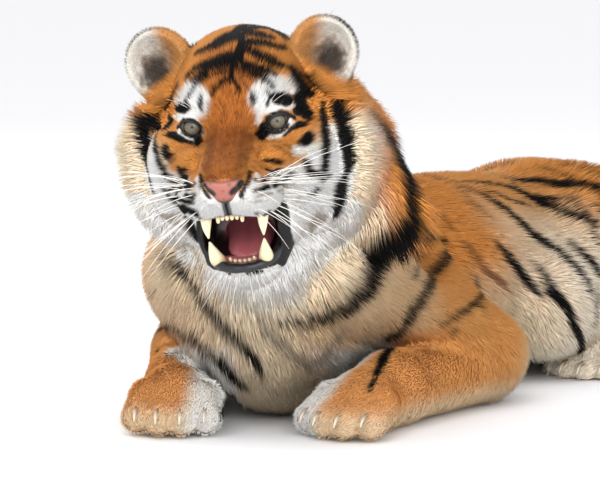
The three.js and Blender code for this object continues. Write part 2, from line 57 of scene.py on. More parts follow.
Object = bpy.types.Object
Material = bpy.types.Material
MIDDLE = np.array([-76.592, 217.956, 0.0])  # what the library's origin is in the animal's own frame
SIDES = {"L": 1, "R": -1}
# Each row is a marking: its tone where it isn't black, then the points of its middle line, placed by eye
# and brought to millimetres by a helper script. A point is so many millimetres right of the brow and above
# it, on an upright sheet that faces the viewer, and a half width.
# The grey rows that start at 129,-141 and at 96,-168 are not markings of the coat: they are painted shade, a
# dark grey smear low in the ruff under the jaw.
FACE_MARKS = """
3,137,4.1 17,147,4.7 35,149,5.3 55,145,5.3 76,140,4.7 90,132,3.5
23,135,3.5 38,133,3.8 54,129,2.9
13,122,2.9 32,121,3.5 50,119,3.8 67,113,3.5 76,114,2.3
16,112,3.5 32,105,4.4 50,97,5 66,88,3.5
6,96,2.9 17,88,4.1 35,83,4.7 50,79,3.8 60,75,2.3
28,73,2.3 41,68,3.2 52,62,2.3 58,55,1.5
17,143,2.3 3,137,4.1 -12,131,3.5 -27,124,2.9
6,128,2.9 -12,124,3.2 -27,118,3.5 -41,112,3.5 -57,105,2.6
10,118,3.5 6,106,4.7 -12,102,4.1 -29,96,4.4 -47,88,4.1 -62,81,2.9 -73,69,2.3
3,96,4.1 -12,90,3.8 -29,85,3.2 -47,77,2.9 -65,65,2
-41,71,2.3 -53,65,2.6 -59,56,1.5 -68,43,1.2 -73,34,1.5
10,115,4.1 6,99,4.7 -2,87,2.9 -6,72,2 -8,62,1.2
-9,78,1.8 -24,77,1.5 -35,72,1.2
-9,69,2 -21,61,2.6 -31,50,2.3 -34,43,1.5
-5,68,1.8 3,58,2.3 8,49,1.8
brown 3,77,1.5 17,71,1.5 32,64,1.5
brown 6,68,1.2 17,58,1.8 25,46,2.3
26,42,2.6 28,34,3.2
3,84,1.8 14,80,1.8 26,75,1.5
-49,40,1.5 -51,28,2 -49,20,1.2
brown -39,31,1.5 -40,23,1.2
-85,26,4.4 -76,24,5.3 -69,27,2.3
64,40,5.3 74,39,6.1 82,38,4.4
48,50,1.2 52,40,1.5 49,27,1.2
50,8,2.6 58,15,2.3 70,17,2.3 80,14,2.9 89,9,2.3
89,18,4.1 99,20,5.9 107,12,4.7
111,6,2.3 107,20,4.7 101,31,4.1 96,40,2.3
35,-18,5.3 41,-18,5.3 46,-7,4.1 50,5,2.6
50,-10,2.3 58,-13,1.8 70,-10,1.5 79,-1,1.5
104,0,2.9 93,-2,2.6 83,-8,2 74,-17,1.2
112,-13,2.9 112,-21,4.1 105,-27,3.5 96,-28,2
-50,-11,2.3 -56,-2,2.3 -68,2,2 -79,-1,2.3 -84,-5,2
-100,-4,3.5 -94,5,2.3 -98,14,2
-84,58,2.3 -91,43,2.9 -98,31,4.7 -100,23,2.3
-100,-15,3.8 -91,-16,4.1 -79,-21,2.6 -70,-26,1.8 -62,-29,1.2
-56,-33,2.6 -54,-24,3.5 -52,-15,2.6
-78,-8,1.8 -73,-15,1.2 -65,-19,1.2 -56,-18,1.5
-104,-32,2.3 -104,-42,3.5 -98,-49,3.5 -92,-46,1.8
brown -97,-58,1.5 -88,-51,1.5
-126,15,3.5 -129,-4,6.4 -133,-27,6.4 -133,-48,5.9 -129,-65,4.1 -125,-86,3.5 -122,-97,2.3
-111,5,1.8 -116,-15,1.8 -116,-36,1.8 -113,-56,1.8 -107,-68,1.5
grey -126,-127,3.5 -114,-132,4.7 -97,-138,4.7 -82,-134,3.5
-106,-74,1.8 -97,-77,2.3 -91,-86,2.3
-103,-97,1.8 -97,-109,1.8 -85,-121,2.3 -70,-127,2 -59,-132,1.8
-75,-68,2.6 -81,-75,2
-75,-84,2.6 -66,-94,2.9
-88,-89,2 -79,-97,2.3
-72,-105,2.3 -62,-111,1.8
-94,-97,1.5 -85,-109,1.8 -73,-115,1.8 -62,-118,1.2
47,-68,1.5 55,-70,2
45,-53,1.8 58,-55,2.6 69,-57,1.8
41,-86,1.5 50,-80,2.3
58,-75,2.3 64,-69,2.3
39,-97,1.5 50,-93,2
58,-91,2.3 70,-87,2.3
77,-81,2.3 85,-73,1.8
grey 23,-112,1.2 41,-105,1.5 55,-102,1.8
grey 64,-99,1.8 76,-94,1.8 85,-87,1.8
grey 17,-121,0.9 35,-115,1.2 52,-112,1.5 70,-105,1.5 85,-97,1.5
153,34,7 156,14,8.2 164,-10,8.2 169,-33,7 171,-56,5.3 164,-74,3.5 159,-94,5.3 156,-118,6.4 153,-130,4.1
131,31,2.3 131,14,4.1 134,-7,4.7 137,-27,4.1 134,-51,3.5 133,-71,4.1 131,-80,4.1
104,-55,2.6 109,-62,3.8 111,-70,3.2
118,-77,2.6 129,-76,2.9 140,-77,2.6
grey 93,-59,1.2 96,-80,1.5 99,-97,1.5 96,-115,1.2
123,-97,2.3 120,-102,1.8 111,-105,1.5
86,84,2.3 96,75,2.6 111,66,2.9 126,55,2.3 137,46,1.5
89,72,3.5 96,61,5.9 107,50,6.4 114,46,3.5
73,87,1.8 82,81,2.3 89,72,2.9
grey 129,-141,4.1 111,-156,5.9 102,-171,4.7
brown 58,-33,0.9 73,-40,1.2 85,-48,1.2
brown 73,-30,0.9 85,-37,0.9 93,-45,0.9
-12,-217,1.8 -8,-222,1.5
19,-220,1.8 23,-223,1.2
32,-220,2.3 39,-219,1.5
-24,-211,1.8 -21,-214,1.2
-70,-138,4.1 -63,-153,4.7 -56,-168,3.5
grey -73,-206,2.9 -59,-211,4.1 -47,-217,2.3
white 51,71,7.3 64,61,11.7 79,55,12.3 89,43,8.2 93,31,3.5
white 44,55,6.4 41,37,7.6 39,20,6.4 36,5,3.5
white 55,28,5.9 73,26,4.1 90,29,2.9
white 55,-18,3.5 70,-17,3.2 82,-8,2.6 88,2,1.8
white -53,66,4.1 -66,55,8.2 -79,43,7.6 -87,34,5.3
white -59,46,7 -54,31,5.3 -59,17,4.1
white -88,11,5.3 -76,11,5.3 -65,11,4.1 -53,2,2.6 -48,-8,1.8
white -82,-13,2.9 -73,-21,2.9 -62,-26,2.3
white 33,-74,2.9 30,-89,6.4 23,-106,7.6 14,-121,6.4 35,-127,6.4
white 50,-118,8.2 64,-112,7 79,-112,6.4
white -56,-80,2.9 -53,-94,5.3 -44,-112,6.4 -32,-127,5.9 -41,-135,6.4 -59,-127,5.9
white -73,-121,4.1 -88,-115,3.5 -103,-109,4.7 -109,-92,5.9 -111,-77,5.3
white 93,-39,7.6 109,-34,5.9 120,-48,5.3 96,-71,7.6 111,-89,9.9 90,-97,8.8
white 148,-21,4.1 150,-39,4.7 149,-62,5.9 148,-86,7.6 140,-106,10.5 111,-121,14.6
white 161,-144,20.5 129,-168,23.4 105,-194,17.6 93,-144,11.7
cream 181,2,8.8 190,-27,12.9 196,-62,14.6 193,-97,17.6 184,-132,17.6
white -120,-21,3.5 -123,-45,3.5 -119,-65,4.1 -111,-80,5.9
cream -149,8,5.9 -152,-15,10.5 -155,-42,12.9 -155,-74,15.8 -147,-109,16.4
white -133,-138,14.6 -106,-153,12.9 -82,-168,14.6 -70,-188,13.5 -59,-203,8.2
white -35,-232,14.6 -12,-238,16.4 11,-241,16.4 35,-235,16.4 58,-223,14.6 82,-206,14.6
-129,15,6.4 -132,-7,7.6 -132,-33,8.2 -130,-59,6.4 -126,-80,4.1
-113,2,2.3 -117,-21,2.6 -114,-45,2.6 -107,-65,2.3 -97,-80,2.3
-100,31,5.3 -104,20,2.9
152,34,7 156,14,9.9 161,-7,9.4 164,-30,7.6 168,-51,7 170,-65,4.1
132,31,2.6 133,8,4.7 134,-15,5.9 135,-39,4.1 134,-59,4.7 132,-80,2.9
96,37,5.3 104,17,7 110,5,2.3
101,55,5.9 108,46,5.3
91,-4,3.2 99,1,3.2
105,-21,3.8 113,-15,3.8 99,-27,3.2
47,-4,7 41,-15,5.9 37,-21,3.5
-54,-8,2.9 -55,-18,3.2 -59,-25,2
-97,-15,3.5 -85,-21,3.2 -76,-26,2
-104,-36,3.8 -100,-48,3.2
108,-59,3.5 111,-71,4.1 126,-77,3.5
-82,-68,2.9 -76,-80,3.5 -69,-94,2.9
-88,-109,2.9 -73,-124,3.5 -59,-132,2.9
grey 152,-89,3.5 155,-115,4.7 152,-127,3.5
grey 96,-168,4.1 111,-153,5.9 126,-127,4.1
grey -111,-132,4.1 -88,-147,5.3 -62,-159,6.4
white 146,-4,4.1 149,-33,5.9 152,-68,7
white 120,-39,2.3 123,-53,4.1
white -122,-21,1.8 -121,-51,3.5 -114,-74,4.1
-47,-85,1.5 -50,-75,0.9
20,-81,2 24,-72,1.2
23,-72,1.2 16,-93,2.3 10,-106,2.6
11,140,2.9 26,142,4.1 44,143,4.7 64,140,4.4 82,135,3.8 94,128,2.3
6,132,2.6 -12,128,3.5 -26,121,2.9
-51,-77,0.9 -49,-94,1.5 -37,-109,1.8
grey -44,-90,1.2 -35,-95,1.8 -22,-98,2.3 -8,-93,2 10,-85,1.2
"""
BODY_MARKS = """
218,-5,4.5 240,-41,7.5 257,-68,7.5 263,-89,9 263,-126,10.5 254,-164,12 233,-198,13.5 202,-240,13.5 \
172,-268,12 144,-284,10.5 104,-293,7.5 67,-296,4.5
brown 203,18,6 233,-16,9 252,-53,10.5 266,-92,7.5
grey 36,-291,6 70,-325,7.5 113,-359,7.5
grey 163,-305,6 134,-343,7.5 113,-358,6
298,-160,4.5 307,-173,7.5 310,-204,10.5 286,-246,9 263,-280,9 239,-315,7.5 218,-352,7.5 200,-397,4.5
285,-151,3 282,-172,4.5 279,-192,4.5 263,-227,4.5
357,-225,3 362,-240,5.2 363,-261,6 342,-276,5.2 304,-299,3
-110,-189,3 -100,-204,6 -57,-244,7.5 -28,-283,7.5 2,-317,7.5 28,-346,6 39,-367,4.5
-134,-297,4.5 -100,-299,6 -57,-321,7.5 -19,-351,7.5 11,-389,6
-44,-358,4.5 -33,-376,7.5 -7,-406,9 5,-429,9
-130,-246,3 -122,-255,4.5
-143,-287,4.5 -128,-297,6
brown 340,-93,3 357,-101,4.5 378,-111,5.2
372,-108,3 405,-127,6 433,-152,7.5 462,-175,7.5 492,-197,8.2 511,-219,7.5 526,-249,4.5
326,-84,2.2 372,-87,3.8 421,-98,4.5 470,-108,4.5 504,-113,2.2
379,-86,3 427,-101,6 465,-118,7.5 498,-133,7.5 532,-147,6
369,-95,3 405,-110,3.8 439,-123,3
408,-78,3 452,-83,6 498,-88,7.5 538,-95,7.5
390,-176,4.5 405,-198,7.5 424,-221,9 443,-243,7.5 456,-256,4.5
446,-204,3 461,-225,7.5 474,-251,9 493,-274,9 508,-309,9 513,-340,6
499,-172,4.5 505,-181,7.5 529,-204,9 539,-219,7.5
brown 338,-172,3 357,-195,4.5 372,-216,6 391,-232,6 409,-250,3
brown 326,-87,3 351,-117,4.5 378,-138,3
brown 289,-112,3 305,-130,4.5 322,-154,3
cream 209,-135,15 203,-172,24 174,-210,30 129,-246,27
white -93,-337,9 -51,-352,12 -14,-386,12 1,-416,9
"""


# ---------- numbers and soft shapes ----------
def smooth(value: Array, low: float, high: float) -> Array:
    """0 below low, 1 above high, and an even rise between."""
    t = np.clip((value - low) / (high - low), 0.0, 1.0)
    return t * t * (3.0 - 2.0 * t)


def unit(vectors: Array) -> Array:
    """The vectors, each scaled to length 1."""
    return vectors / np.maximum(np.linalg.norm(vectors, axis=-1, keepdims=True), 1e-9)


def away_from(points: Array, centre: Sequence[float], sizes: Sequence[float] = (1, 1, 1)) -> Array:
    """How far points lie from a centre, counted in sizes along each axis."""
    return np.linalg.norm((points - np.array(centre)) / np.array(sizes), axis=1)


def smooth_line(knots: Array, steps: int) -> Array:
    """A smooth line through knots, with as many steps between each pair; a column for each number."""
    padded = np.vstack([2 * knots[0] - knots[1], knots, 2 * knots[-1] - knots[-2]])
    out = []
    for i in range(len(knots) - 1):
        a, b, c, d = padded[i : i + 4]
        for u in np.arange(steps) / steps:
            bend, twist = 2 * a - 5 * b + 4 * c - d, 3 * b - a - 3 * c + d
            out.append(0.5 * (2 * b + (c - a) * u + bend * u * u + twist * u**3))
    out.append(knots[-1])
    return np.array(out)


def soft_min(a: Array, b: Array, k: float) -> Array:
    """The smaller of two distances, rounded over where they are within k of each other."""
    h = np.maximum(k - np.abs(a - b), 0.0) / k
    return np.minimum(a, b) - h * h * k / 4.0


def soft_max(a: Array, b: Array, k: float) -> Array:
    """The larger of two distances, rounded over where they are within k of each other."""
    return -soft_min(-a, -b, k)


def turned(x: float, y: float, z: float) -> Array:
    """The matrix that turns about Z, then Y, then X."""
    (cx, sx), (cy, sy), (cz, sz) = [(math.cos(a), math.sin(a)) for a in (x, y, z)]
    about_x = np.array([[1, 0, 0], [0, cx, -sx], [0, sx, cx]])
    about_y = np.array([[cy, 0, sy], [0, 1, 0], [-sy, 0, cy]])
    about_z = np.array([[cz, -sz, 0], [sz, cz, 0], [0, 0, 1]])
    return about_x @ about_y @ about_z


def ball(centre: Sequence[float], radii: Sequence[float], turn: Optional[Point] = None) -> Shape:
    """An ellipsoid.

    Args:
        centre: its middle.
        radii: its half sizes.
        turn: angles about X, Y and Z, or None.

    Returns:
        The distance to its surface, as a function of points.
    """
    c, r = np.array(centre), np.array(radii, dtype=float)
    matrix = None if turn is None else turned(*turn)

    def distance(p: Array) -> Array:
        """The distance to it."""
        local = p - c
        if matrix is not None:
            local = local @ matrix
        near = np.sqrt(((local / r) ** 2).sum(axis=1))
        steep = np.sqrt(((local / (r * r)) ** 2).sum(axis=1))
        return near * (near - 1.0) / np.maximum(steep, 1e-9)

    distance.bound = (c, float(r.max()))
    return distance


def limb(a: Sequence[float], b: Sequence[float], ra: float, rb: float) -> Shape:
    """A round limb from a to b, ra thick at a and rb thick at b, as a distance."""
    start, along = np.array(a, dtype=float), np.array(b, dtype=float) - np.array(a, dtype=float)
    long = float(along @ along)

    def distance(p: Array) -> Array:
        """The distance to it."""
        away = p - start
        t = np.clip(away @ along / long, 0.0, 1.0)
        return np.linalg.norm(away - t[:, None] * along, axis=1) - (ra + t * (rb - ra))

    distance.bound = (start + along / 2, math.sqrt(long) / 2 + max(ra, rb))
    return distance


def melt(members: Sequence[Member], reach: float = 150.0) -> Shape:
    """Shapes melted together, each with its own melt radius.

    Args:
        members: each shape and its melt radius.
        reach: members further away than this are left out.

    Returns:
        The distance to them all.
    """

    def distance(p: Array) -> Array:
        """The distance to them all."""
        total = np.full(len(p), 1e4)
        low, high = p.min(axis=0), p.max(axis=0)
        for shape, k in members:
            bound = getattr(shape, "bound", None)
            if bound is not None:
                gap = np.maximum(np.maximum(low - bound[0], bound[0] - high), 0)
                if np.linalg.norm(gap) - bound[1] > reach:
                    continue
            total = soft_min(total, shape(p), k)
        return total

    return distance


def both(make: Callable[[int], Member]) -> List[Member]:
    """A member made for the left and for the right."""
    return [make(1), make(-1)]


# ---------- the animal's pose ----------
@dataclass(frozen=True)
class Pose:
    """How the chest, head and jaw are held."""

    chest_turn: float = 0.25
    chest_pivot: Tuple[float, float] = (0.0, -60.0)
    head_place: Point = (168.0, -520.0, 484.0)
    yaw: float = 0.44
    pitch: float = 0.13
    roll: float = 0.087
    gape: float = 0.43
    jaw_hinge: Point = (0.0, 100.0, -55.0)

    def chest(self, x: float, y: float, z: float) -> Array:
        """A point of the chest, given as if the body were straight."""
        c, s = math.cos(self.chest_turn), math.sin(self.chest_turn)
        dx, dy = x - self.chest_pivot[0], y - self.chest_pivot[1]
        return np.array([self.chest_pivot[0] + c * dx - s * dy, self.chest_pivot[1] + s * dx + c * dy, z])

    def head_turn(self) -> Array:
        """The head's rotation: roll, then pitch, then yaw."""
        return turned(0, 0, self.yaw) @ turned(self.pitch, 0, 0) @ turned(0, -self.roll, 0)

    def to_head(self, p: Array) -> Array:
        """Points of the animal's frame in the head's frame."""
        return (p - np.array(self.head_place)) @ self.head_turn()

    def from_head(self, p: Sequence[float]) -> Array:
        """Points of the head's frame in the animal's frame."""
        return np.asarray(p, dtype=float) @ self.head_turn().T + np.array(self.head_place)

    def to_jaw(self, p: Array) -> Array:
        """Points of the head's frame in the closed jaw's frame."""
        hinge = np.array(self.jaw_hinge)
        return (p - hinge) @ turned(self.gape, 0, 0) + hinge

    def from_jaw(self, p: Sequence[float]) -> Array:
        """Points of the closed jaw's frame in the head's frame."""
        hinge = np.array(self.jaw_hinge)
        return (np.asarray(p, dtype=float) - hinge) @ turned(self.gape, 0, 0).T + hinge


@dataclass(frozen=True)
class Fur:
    """How the coat grows on a part of the body, in millimetres."""

    depth: float
    length: float
    lie: Point = (0.0, 0.75, -0.65)


@dataclass
class Part:
    """A named part of the body: its soft shape and its coat."""

    name: str
    members: List[Member]
    fur: Fur

    def shape(self, p: Array) -> Array:
        """The distance to this part alone."""
        return melt(self.members)(p)


@dataclass
class Body:
    """Everything behind the head, out to the tips of the coat."""

    pose: Pose
    back_height: float = 344.0
    hip: Point = (92.0, 690.0, 205.0)
    forearm: float = 292.0
    hind_paw: float = 0.9
    elbows: Dict[str, Point] = field(default_factory=lambda: {"L": (232, 80, 78), "R": (-186, -96, 78)})
    forearm_yaw: Dict[str, float] = field(default_factory=lambda: {"L": 0.05, "R": 0.5})
    tail_bends: Tuple[Point, ...] = (
        (0, 850, 180),
        (-50, 960, 84),
        (-170, 1042, 38),
        (-330, 1010, 36),
        (-424, 850, 35),
        (-440, 640, 33),
        (-410, 510, 31),
    )
    toes: Tuple[float, ...] = (-49, -17, 17, 49)
    toe_reach: Tuple[float, ...] = (-150, -170, -170, -150)
    parts: List[Part] = field(default_factory=list)
    paws: Dict[str, Tuple[Array, float, float]] = field(default_factory=dict)

    def build(self) -> None:
        """Makes every part of the body."""
        self.parts = [*self.trunk(), *self.legs(), *self.tail()]

    def shape(self, p: Array) -> Array:
        """The distance to the whole body without the head."""
        return melt([m for part in self.parts for m in part.members])(p)

    def trunk(self) -> List[Part]:
        """The chest, belly, rump and neck."""
        chest, head = self.pose.chest, self.pose.from_head
        turn = (0, 0, self.pose.chest_turn)
        top = self.back_height
        return [
            Part("chest", [
                (ball(chest(0, -110, 184), (176, 270, 186), turn), 20),
                (ball(chest(0, -250, 178), (140, 150, 150), turn), 70),
                (ball(chest(0, -170, 300), (92, 170, 70), turn), 60),
            ], Fur(20, 46)),
            Part("belly", [
                (ball((0, 270, 160), (200, 330, 164)), 60),
                (limb((10, -60, top - 92), (0, 600, top - 104), 92, 88), 60),
            ], Fur(13, 34)),
            Part("rump", [
                (ball((0, 690, 170), (166, 200, 166)), 70),
                (ball((0, 780, 150), (124, 110, 130)), 60),
            ], Fur(13, 34)),
            Part("neck", [
                (limb(chest(0, -210, 276), head((0, 150, -30)), 146, 122), 70),
                (limb(chest(70, -200, 250), head((66, 164, -76)), 120, 118), 60),
                (limb(chest(0, -300, 190), head((0, 118, -128)), 112, 98), 60),
                (ball(head((0, 150, -70)), (172, 92, 150), (self.pose.pitch, 0, self.pose.yaw)), 60),
                (limb((225, -300, 434), (262, -236, 335), 58, 62), 60),
            ], Fur(24, 52, (-0.15, 0.72, -0.66))),
        ]

    def legs(self) -> List[Part]:
        """Both forelegs and both hind legs, with their paws."""
        chest = self.pose.chest
        made: List[Part] = []
        for side, s in SIDES.items():
            shoulder, elbow = chest(s * 106, -280, 228), np.array(self.elbows[side])
            yaw = self.forearm_yaw[side]
            wrist = elbow + self.forearm * np.array([math.sin(yaw), -math.cos(yaw), 0])
            wrist[2] = 58
            reach = unit(wrist - elbow)
            made += [
                Part("upper_arm_" + side, [
                    (limb(chest(s * 80, -90, 296), shoulder, 66, 80), 60),
                    (limb(shoulder, elbow, 80, 66), 50),
                    (limb(chest(s * 112, -50, 270), elbow, 70, 56), 50),
                    (ball(chest(s * 116, -110, 190), (66, 110, 96), (0, 0, self.pose.chest_turn)), 40),
                    (ball(elbow, (60, 68, 66)), 30),
                ], Fur(11, 30, tuple(unit(elbow - shoulder) + (0, 0.5, -0.5)))),
                Part("forearm_" + side, [(limb(elbow + (0, -34, -10), wrist, 70, 58), 24)],
                     Fur(8, 22, tuple(reach + (0, 0, -0.3)))),
                Part("forepaw_" + side, self.paw(wrist, yaw, 1.0),
                     Fur(5, 14, tuple(reach + (0, 0, -0.2)))),
            ]
            self.paws["fore_" + side] = (wrist, yaw, 1.0)
            hip = np.array([s * self.hip[0], self.hip[1], self.hip[2]])
            knee, hock = np.array([s * 190, 350, 120.0]), np.array([s * 222, 680, 50.0])
            ankle = np.array([s * 228, 540, 44.0])
            made += [
                Part("thigh_" + side, [
                    (limb(hip, knee, 118, 84), 60),
                    (ball((s * 124, 640, 160), (92, 150, 128)), 50),
                ], Fur(12, 32, (0, 0.55, -0.8))),
                Part("shank_" + side, [(limb(knee, hock, 78, 44), 40), (limb(hock, ankle, 46, 42), 30)],
                     Fur(8, 22, (0, 0.9, -0.3))),
                Part("hindpaw_" + side, self.paw(ankle, s * 0.03, self.hind_paw), Fur(5, 14, (0, -1, -0.2))),
            ]
            self.paws["hind_" + side] = (ankle, s * 0.03, self.hind_paw)
        return made

    def at_paw(self, wrist: Array, yaw: float, p: Sequence[float]) -> Array:
        """A point of a paw's frame in the animal's frame."""
        return np.asarray(p, dtype=float) @ turned(0, 0, yaw).T + wrist

    def paw(self, wrist: Array, yaw: float, size: float) -> List[Member]:
        """The members of a paw: carpus, instep and four toes."""
        at = lambda x, y, z: self.at_paw(wrist, yaw, (x * size, y * size, z))
        toes = []
        for x, reach in zip(self.toes, self.toe_reach):
            toes.append((limb(at(x * 0.86, -96, -6), at(x * 1.06, reach, -30), 32 * size, 28 * size), 9))
        return [
            (limb(at(0, 10, 0), at(0, -50, -6), 58 * size, 54 * size), 20),
            (ball(at(0, -86, -14), (66 * size, 62 * size, 46), (0, 0, yaw)), 30),
            *toes,
        ]

    def tail_course(self, steps: int) -> Array:
        """Points along the middle of the tail, from its root to its tip."""
        return smooth_line(np.array(self.tail_bends, dtype=float), steps // (len(self.tail_bends) - 1))

    def tail(self) -> List[Part]:
        """The tail, laid round the right side on the floor."""
        steps = 18
        course = self.tail_course(steps)
        radii = [56 - 22 * math.sqrt(i / steps) for i in range(steps + 1)]
        members = [(limb(*course[i : i + 2], *radii[i : i + 2]), 12) for i in range(steps)]
        return [Part("tail", members, Fur(9, 26))]


@dataclass
class Head:
    """The head and jaw in the head's frame: the middle between the eyes, nose towards -Y."""

    pose: Pose
    eye_out: float = 64.0
    eye_radius: float = 19.5
    gaze: Tuple[float, float] = (35.0, 4.5)
    slant: float = 0.36
    opening: Tuple[float, float] = (16.5, 8.8)
    ear_middle: Point = (125, 112, 78)

    def eye(self, s: int) -> Array:
        """The middle of an eye."""
        return np.array([s * self.eye_out, 0, 0])

    def build(self) -> None:
        """Makes the soft shapes of the head."""
        self.full = melt([
            (ball((0, 96, 16), (108, 128, 113)), 20),
            (ball((0, 26, 4), (66, 58, 56)), 26),
            *both(lambda s: (limb((s * 19, 4, -14), (s * 16, -106, -56), 33, 24), 26)),
            (ball((0, -74, -82), (60, 62, 42)), 26),
            *both(lambda s: (ball((s * 37, -94, -88), (42, 44, 34)), 18)),
            (ball((0, -116, -66), (30, 22, 24)), 14),
            *both(lambda s: (ball((s * 60, 4, 28), (32, 20, 14)), 18)),
            *both(lambda s: (ball((s * 56, -36, -46), (30, 36, 30)), 22)),
            *both(lambda s: (ball((s * 92, 44, -56), (53, 84, 60)), 34)),
            *both(lambda s: (ball((s * 82, 66, -118), (56, 76, 70)), 40)),
            (ball((112, 104, -88), (64, 58, 104), (0, 0.12, 0)), 50),
            (ball((-127, 104, -88), (68, 58, 104), (0, -0.12, 0)), 50),
        ])
        self.orbits = melt(both(lambda s: (ball((s * 70, -38, -2), (30, 27, 19)), 4)))
        self.jaw_body = melt([
            *both(lambda s: (limb((s * 60, 62, -112), (s * 34, -72, -136), 40, 28), 24)),
            (ball((0, -70, -150), (48, 40, 36)), 24),
            (ball((0, 0, -152), (54, 80, 34)), 30),
        ])
        self.cheeks = melt(both(lambda s: (limb((s * 66, 48, -96), (s * 58, -18, -150), 42, 30), 20)))
        self.ears = melt([(self.ear(s), 1) for s in SIDES.values()])

    def ear(self, s: int) -> Shape:
        """One ear: a shell with its cup towards the front."""
        out, back, up = self.ear_middle
        shell = ball((s * out, back, up), (55, 31, 59), (0, s * 0.3, 0))
        cup = ball((s * 130, 84, 83), (42, 36, 46), (0, s * 0.3, 0))
        return lambda p: soft_max(shell(p), -cup(p), 5)

    def in_ear(self, s: Array, local: Array) -> Tuple[Array, Array, Array]:
        """How far places lie outwards and up from an ear's middle, and how far from its hollow, in sizes."""
        out, up = s * local[:, 0] - self.ear_middle[0], local[:, 2] - self.ear_middle[2]
        return out, up, np.hypot((out - 8) / 25, (up + 14) / 30)

    def mouth(self, p: Array) -> Array:
        """The space between the jaws: negative inside it."""
        x, y, z = p.T
        vault = -z - 112 - 0.004 * x * x
        floor = -(self.pose.to_jaw(p)[:, 2] + 124)
        wall = np.abs(x) - (57 - 0.1 * np.maximum(0, y + 60))
        return soft_max(soft_max(-vault, floor, 14), soft_max(wall, y - 34, 30), 20)

    def look(self) -> Array:
        """Where the eyes look, in the head's frame."""
        az, el = [math.radians(v) for v in self.gaze]
        away = np.array([math.sin(az) * math.cos(el), -math.cos(az) * math.cos(el), math.sin(el)])
        return away @ self.pose.head_turn()

    def eye_axes(self, s: int) -> Array:
        """An eye's own axes: outwards, up its slanted opening, and along its gaze."""
        ahead = unit(self.look() * 0.75 + (s * 0.1, -0.25, 0.02))
        out = unit(np.cross(ahead, (0, 0, 1)) * -1)
        out = out * s if out[0] > 0 else -out * s
        up = np.cross(out, ahead)
        up = up if up[2] > 0 else -up
        c, k = math.cos(self.slant), math.sin(self.slant)
        return np.stack([c * out + k * up, c * up - k * out, ahead])

    def whisker_root(self, s: int, row: int, col: int) -> Array:
        """Where a whisker grows, in the head's frame."""
        return np.array([s * (40 + 6.5 * col), -114 + 9 * col, -68 - 7.5 * row - 1.0 * col])

    def opening_gap(self, local: Array, s: int) -> Array:
        """How far places lie outside the opening between an eye's lids, seen along its gaze."""
        own = (local - self.eye(s)) @ self.eye_axes(s).T
        wide, high = self.opening
        radius = (wide**2 + high**2) / (2 * high)
        drop = radius - high
        own[:, 1] += 1.2
        gap = np.maximum(*[np.hypot(own[:, 0], own[:, 1] + way * drop) for way in (1, -1)]) - radius
        return np.where(own[:, 2] > -14, gap, 60.0)

    def brows(self, distance: Array, p: Array) -> Array:
        """The skin drawn over each eyeball and opened between its lids.

        Args:
            distance: the distance to the skin without them, in the head's frame.
            p: the points.

        Returns:
            The distance with them.
        """
        for s in SIDES.values():
            middle = self.eye(s)
            near = away_from(p, middle) < 60
            if not near.any():
                continue
            q, own = p[near], distance[near]
            own = soft_min(own, away_from(q, middle) - (self.eye_radius + 1.4), 9)
            ahead = (q - middle) @ self.eye_axes(s)[2]
            own = np.where(ahead > -6, soft_max(own, 1.6 - self.opening_gap(q, s), 1.5), own)
            distance[near] = own
        return distance

    def lip_margin(self, p: Array) -> Array:
        """How far the bare black lip reaches from the mouth: far at the corners, not at all above."""
        x, _, z = p.T
        below = smooth(-z, 128, 150)
        corner = np.where(x > 0, 17.0, 8.0) * smooth(np.abs(x), 44, 58)
        return 1.5 + np.maximum(below * 6.0, corner * smooth(-z, 100, 118))

    def closed(self, p: Array) -> Array:
        """The head with its jaw, before the mouth's space is taken out."""
        upper = soft_max(self.full(p), -self.orbits(p), 14)
        jaw = soft_min(self.jaw_body(self.pose.to_jaw(p)), self.cheeks(p), 26)
        return soft_min(upper, jaw, 30)

    def shape(self, p: Array) -> Array:
        """The head with its mouth open, without the ears."""
        return soft_max(self.closed(p), -self.mouth(p), 6)

    def fur_depth(self, p: Array) -> Array:
        """The coat's depth over the head: thin on the muzzle, deep in the ruff, none in the mouth."""
        x, y, z = p.T
        side, low, back = smooth(np.abs(x), 70, 130), smooth(-z, 20, 110), smooth(y, 10, 100)
        ruff = back * np.maximum(side, low)
        depth = 2.2 + 2.6 * smooth(y, -110, -20) + 4 * smooth(y, 10, 80) + 15 * ruff
        chin = smooth(-self.pose.to_jaw(p)[:, 2], 140, 170)
        depth += 6 * chin * (1 - ruff)
        eyes = np.minimum(*[away_from(p, self.eye(s)) for s in SIDES.values()])
        ears = smooth(self.ears(p), 0, 14)
        depth = depth * smooth(eyes, 20, 44) + 1.2
        depth = depth * ears + 3.5 * (1 - ears)
        return depth * smooth(self.mouth(p) - self.lip_margin(p), -3, 9)

    def lie(self, p: Array) -> Array:
        """The way the hair points: back from the nose, over the face and out to the ruff."""
        x, y, z = p.T
        ahead = 0.42 + 0.4 * smooth(y, -20, 60)
        way = np.stack([x * 1.3, (y + 190) * ahead, (z + 58) * 1.1], axis=1)
        low = smooth(-z, 90, 170)[:, None]
        return unit(unit(way) + low * (0, 0.2, -0.7))


# ---------- from soft shapes to meshes ----------
def in_blocks(shape: Shape, points: Array, size: int = 12000) -> Array:
    """A function of points, worked out a block at a time."""
    return np.concatenate([shape(points[i : i + size]) for i in range(0, len(points), size)])


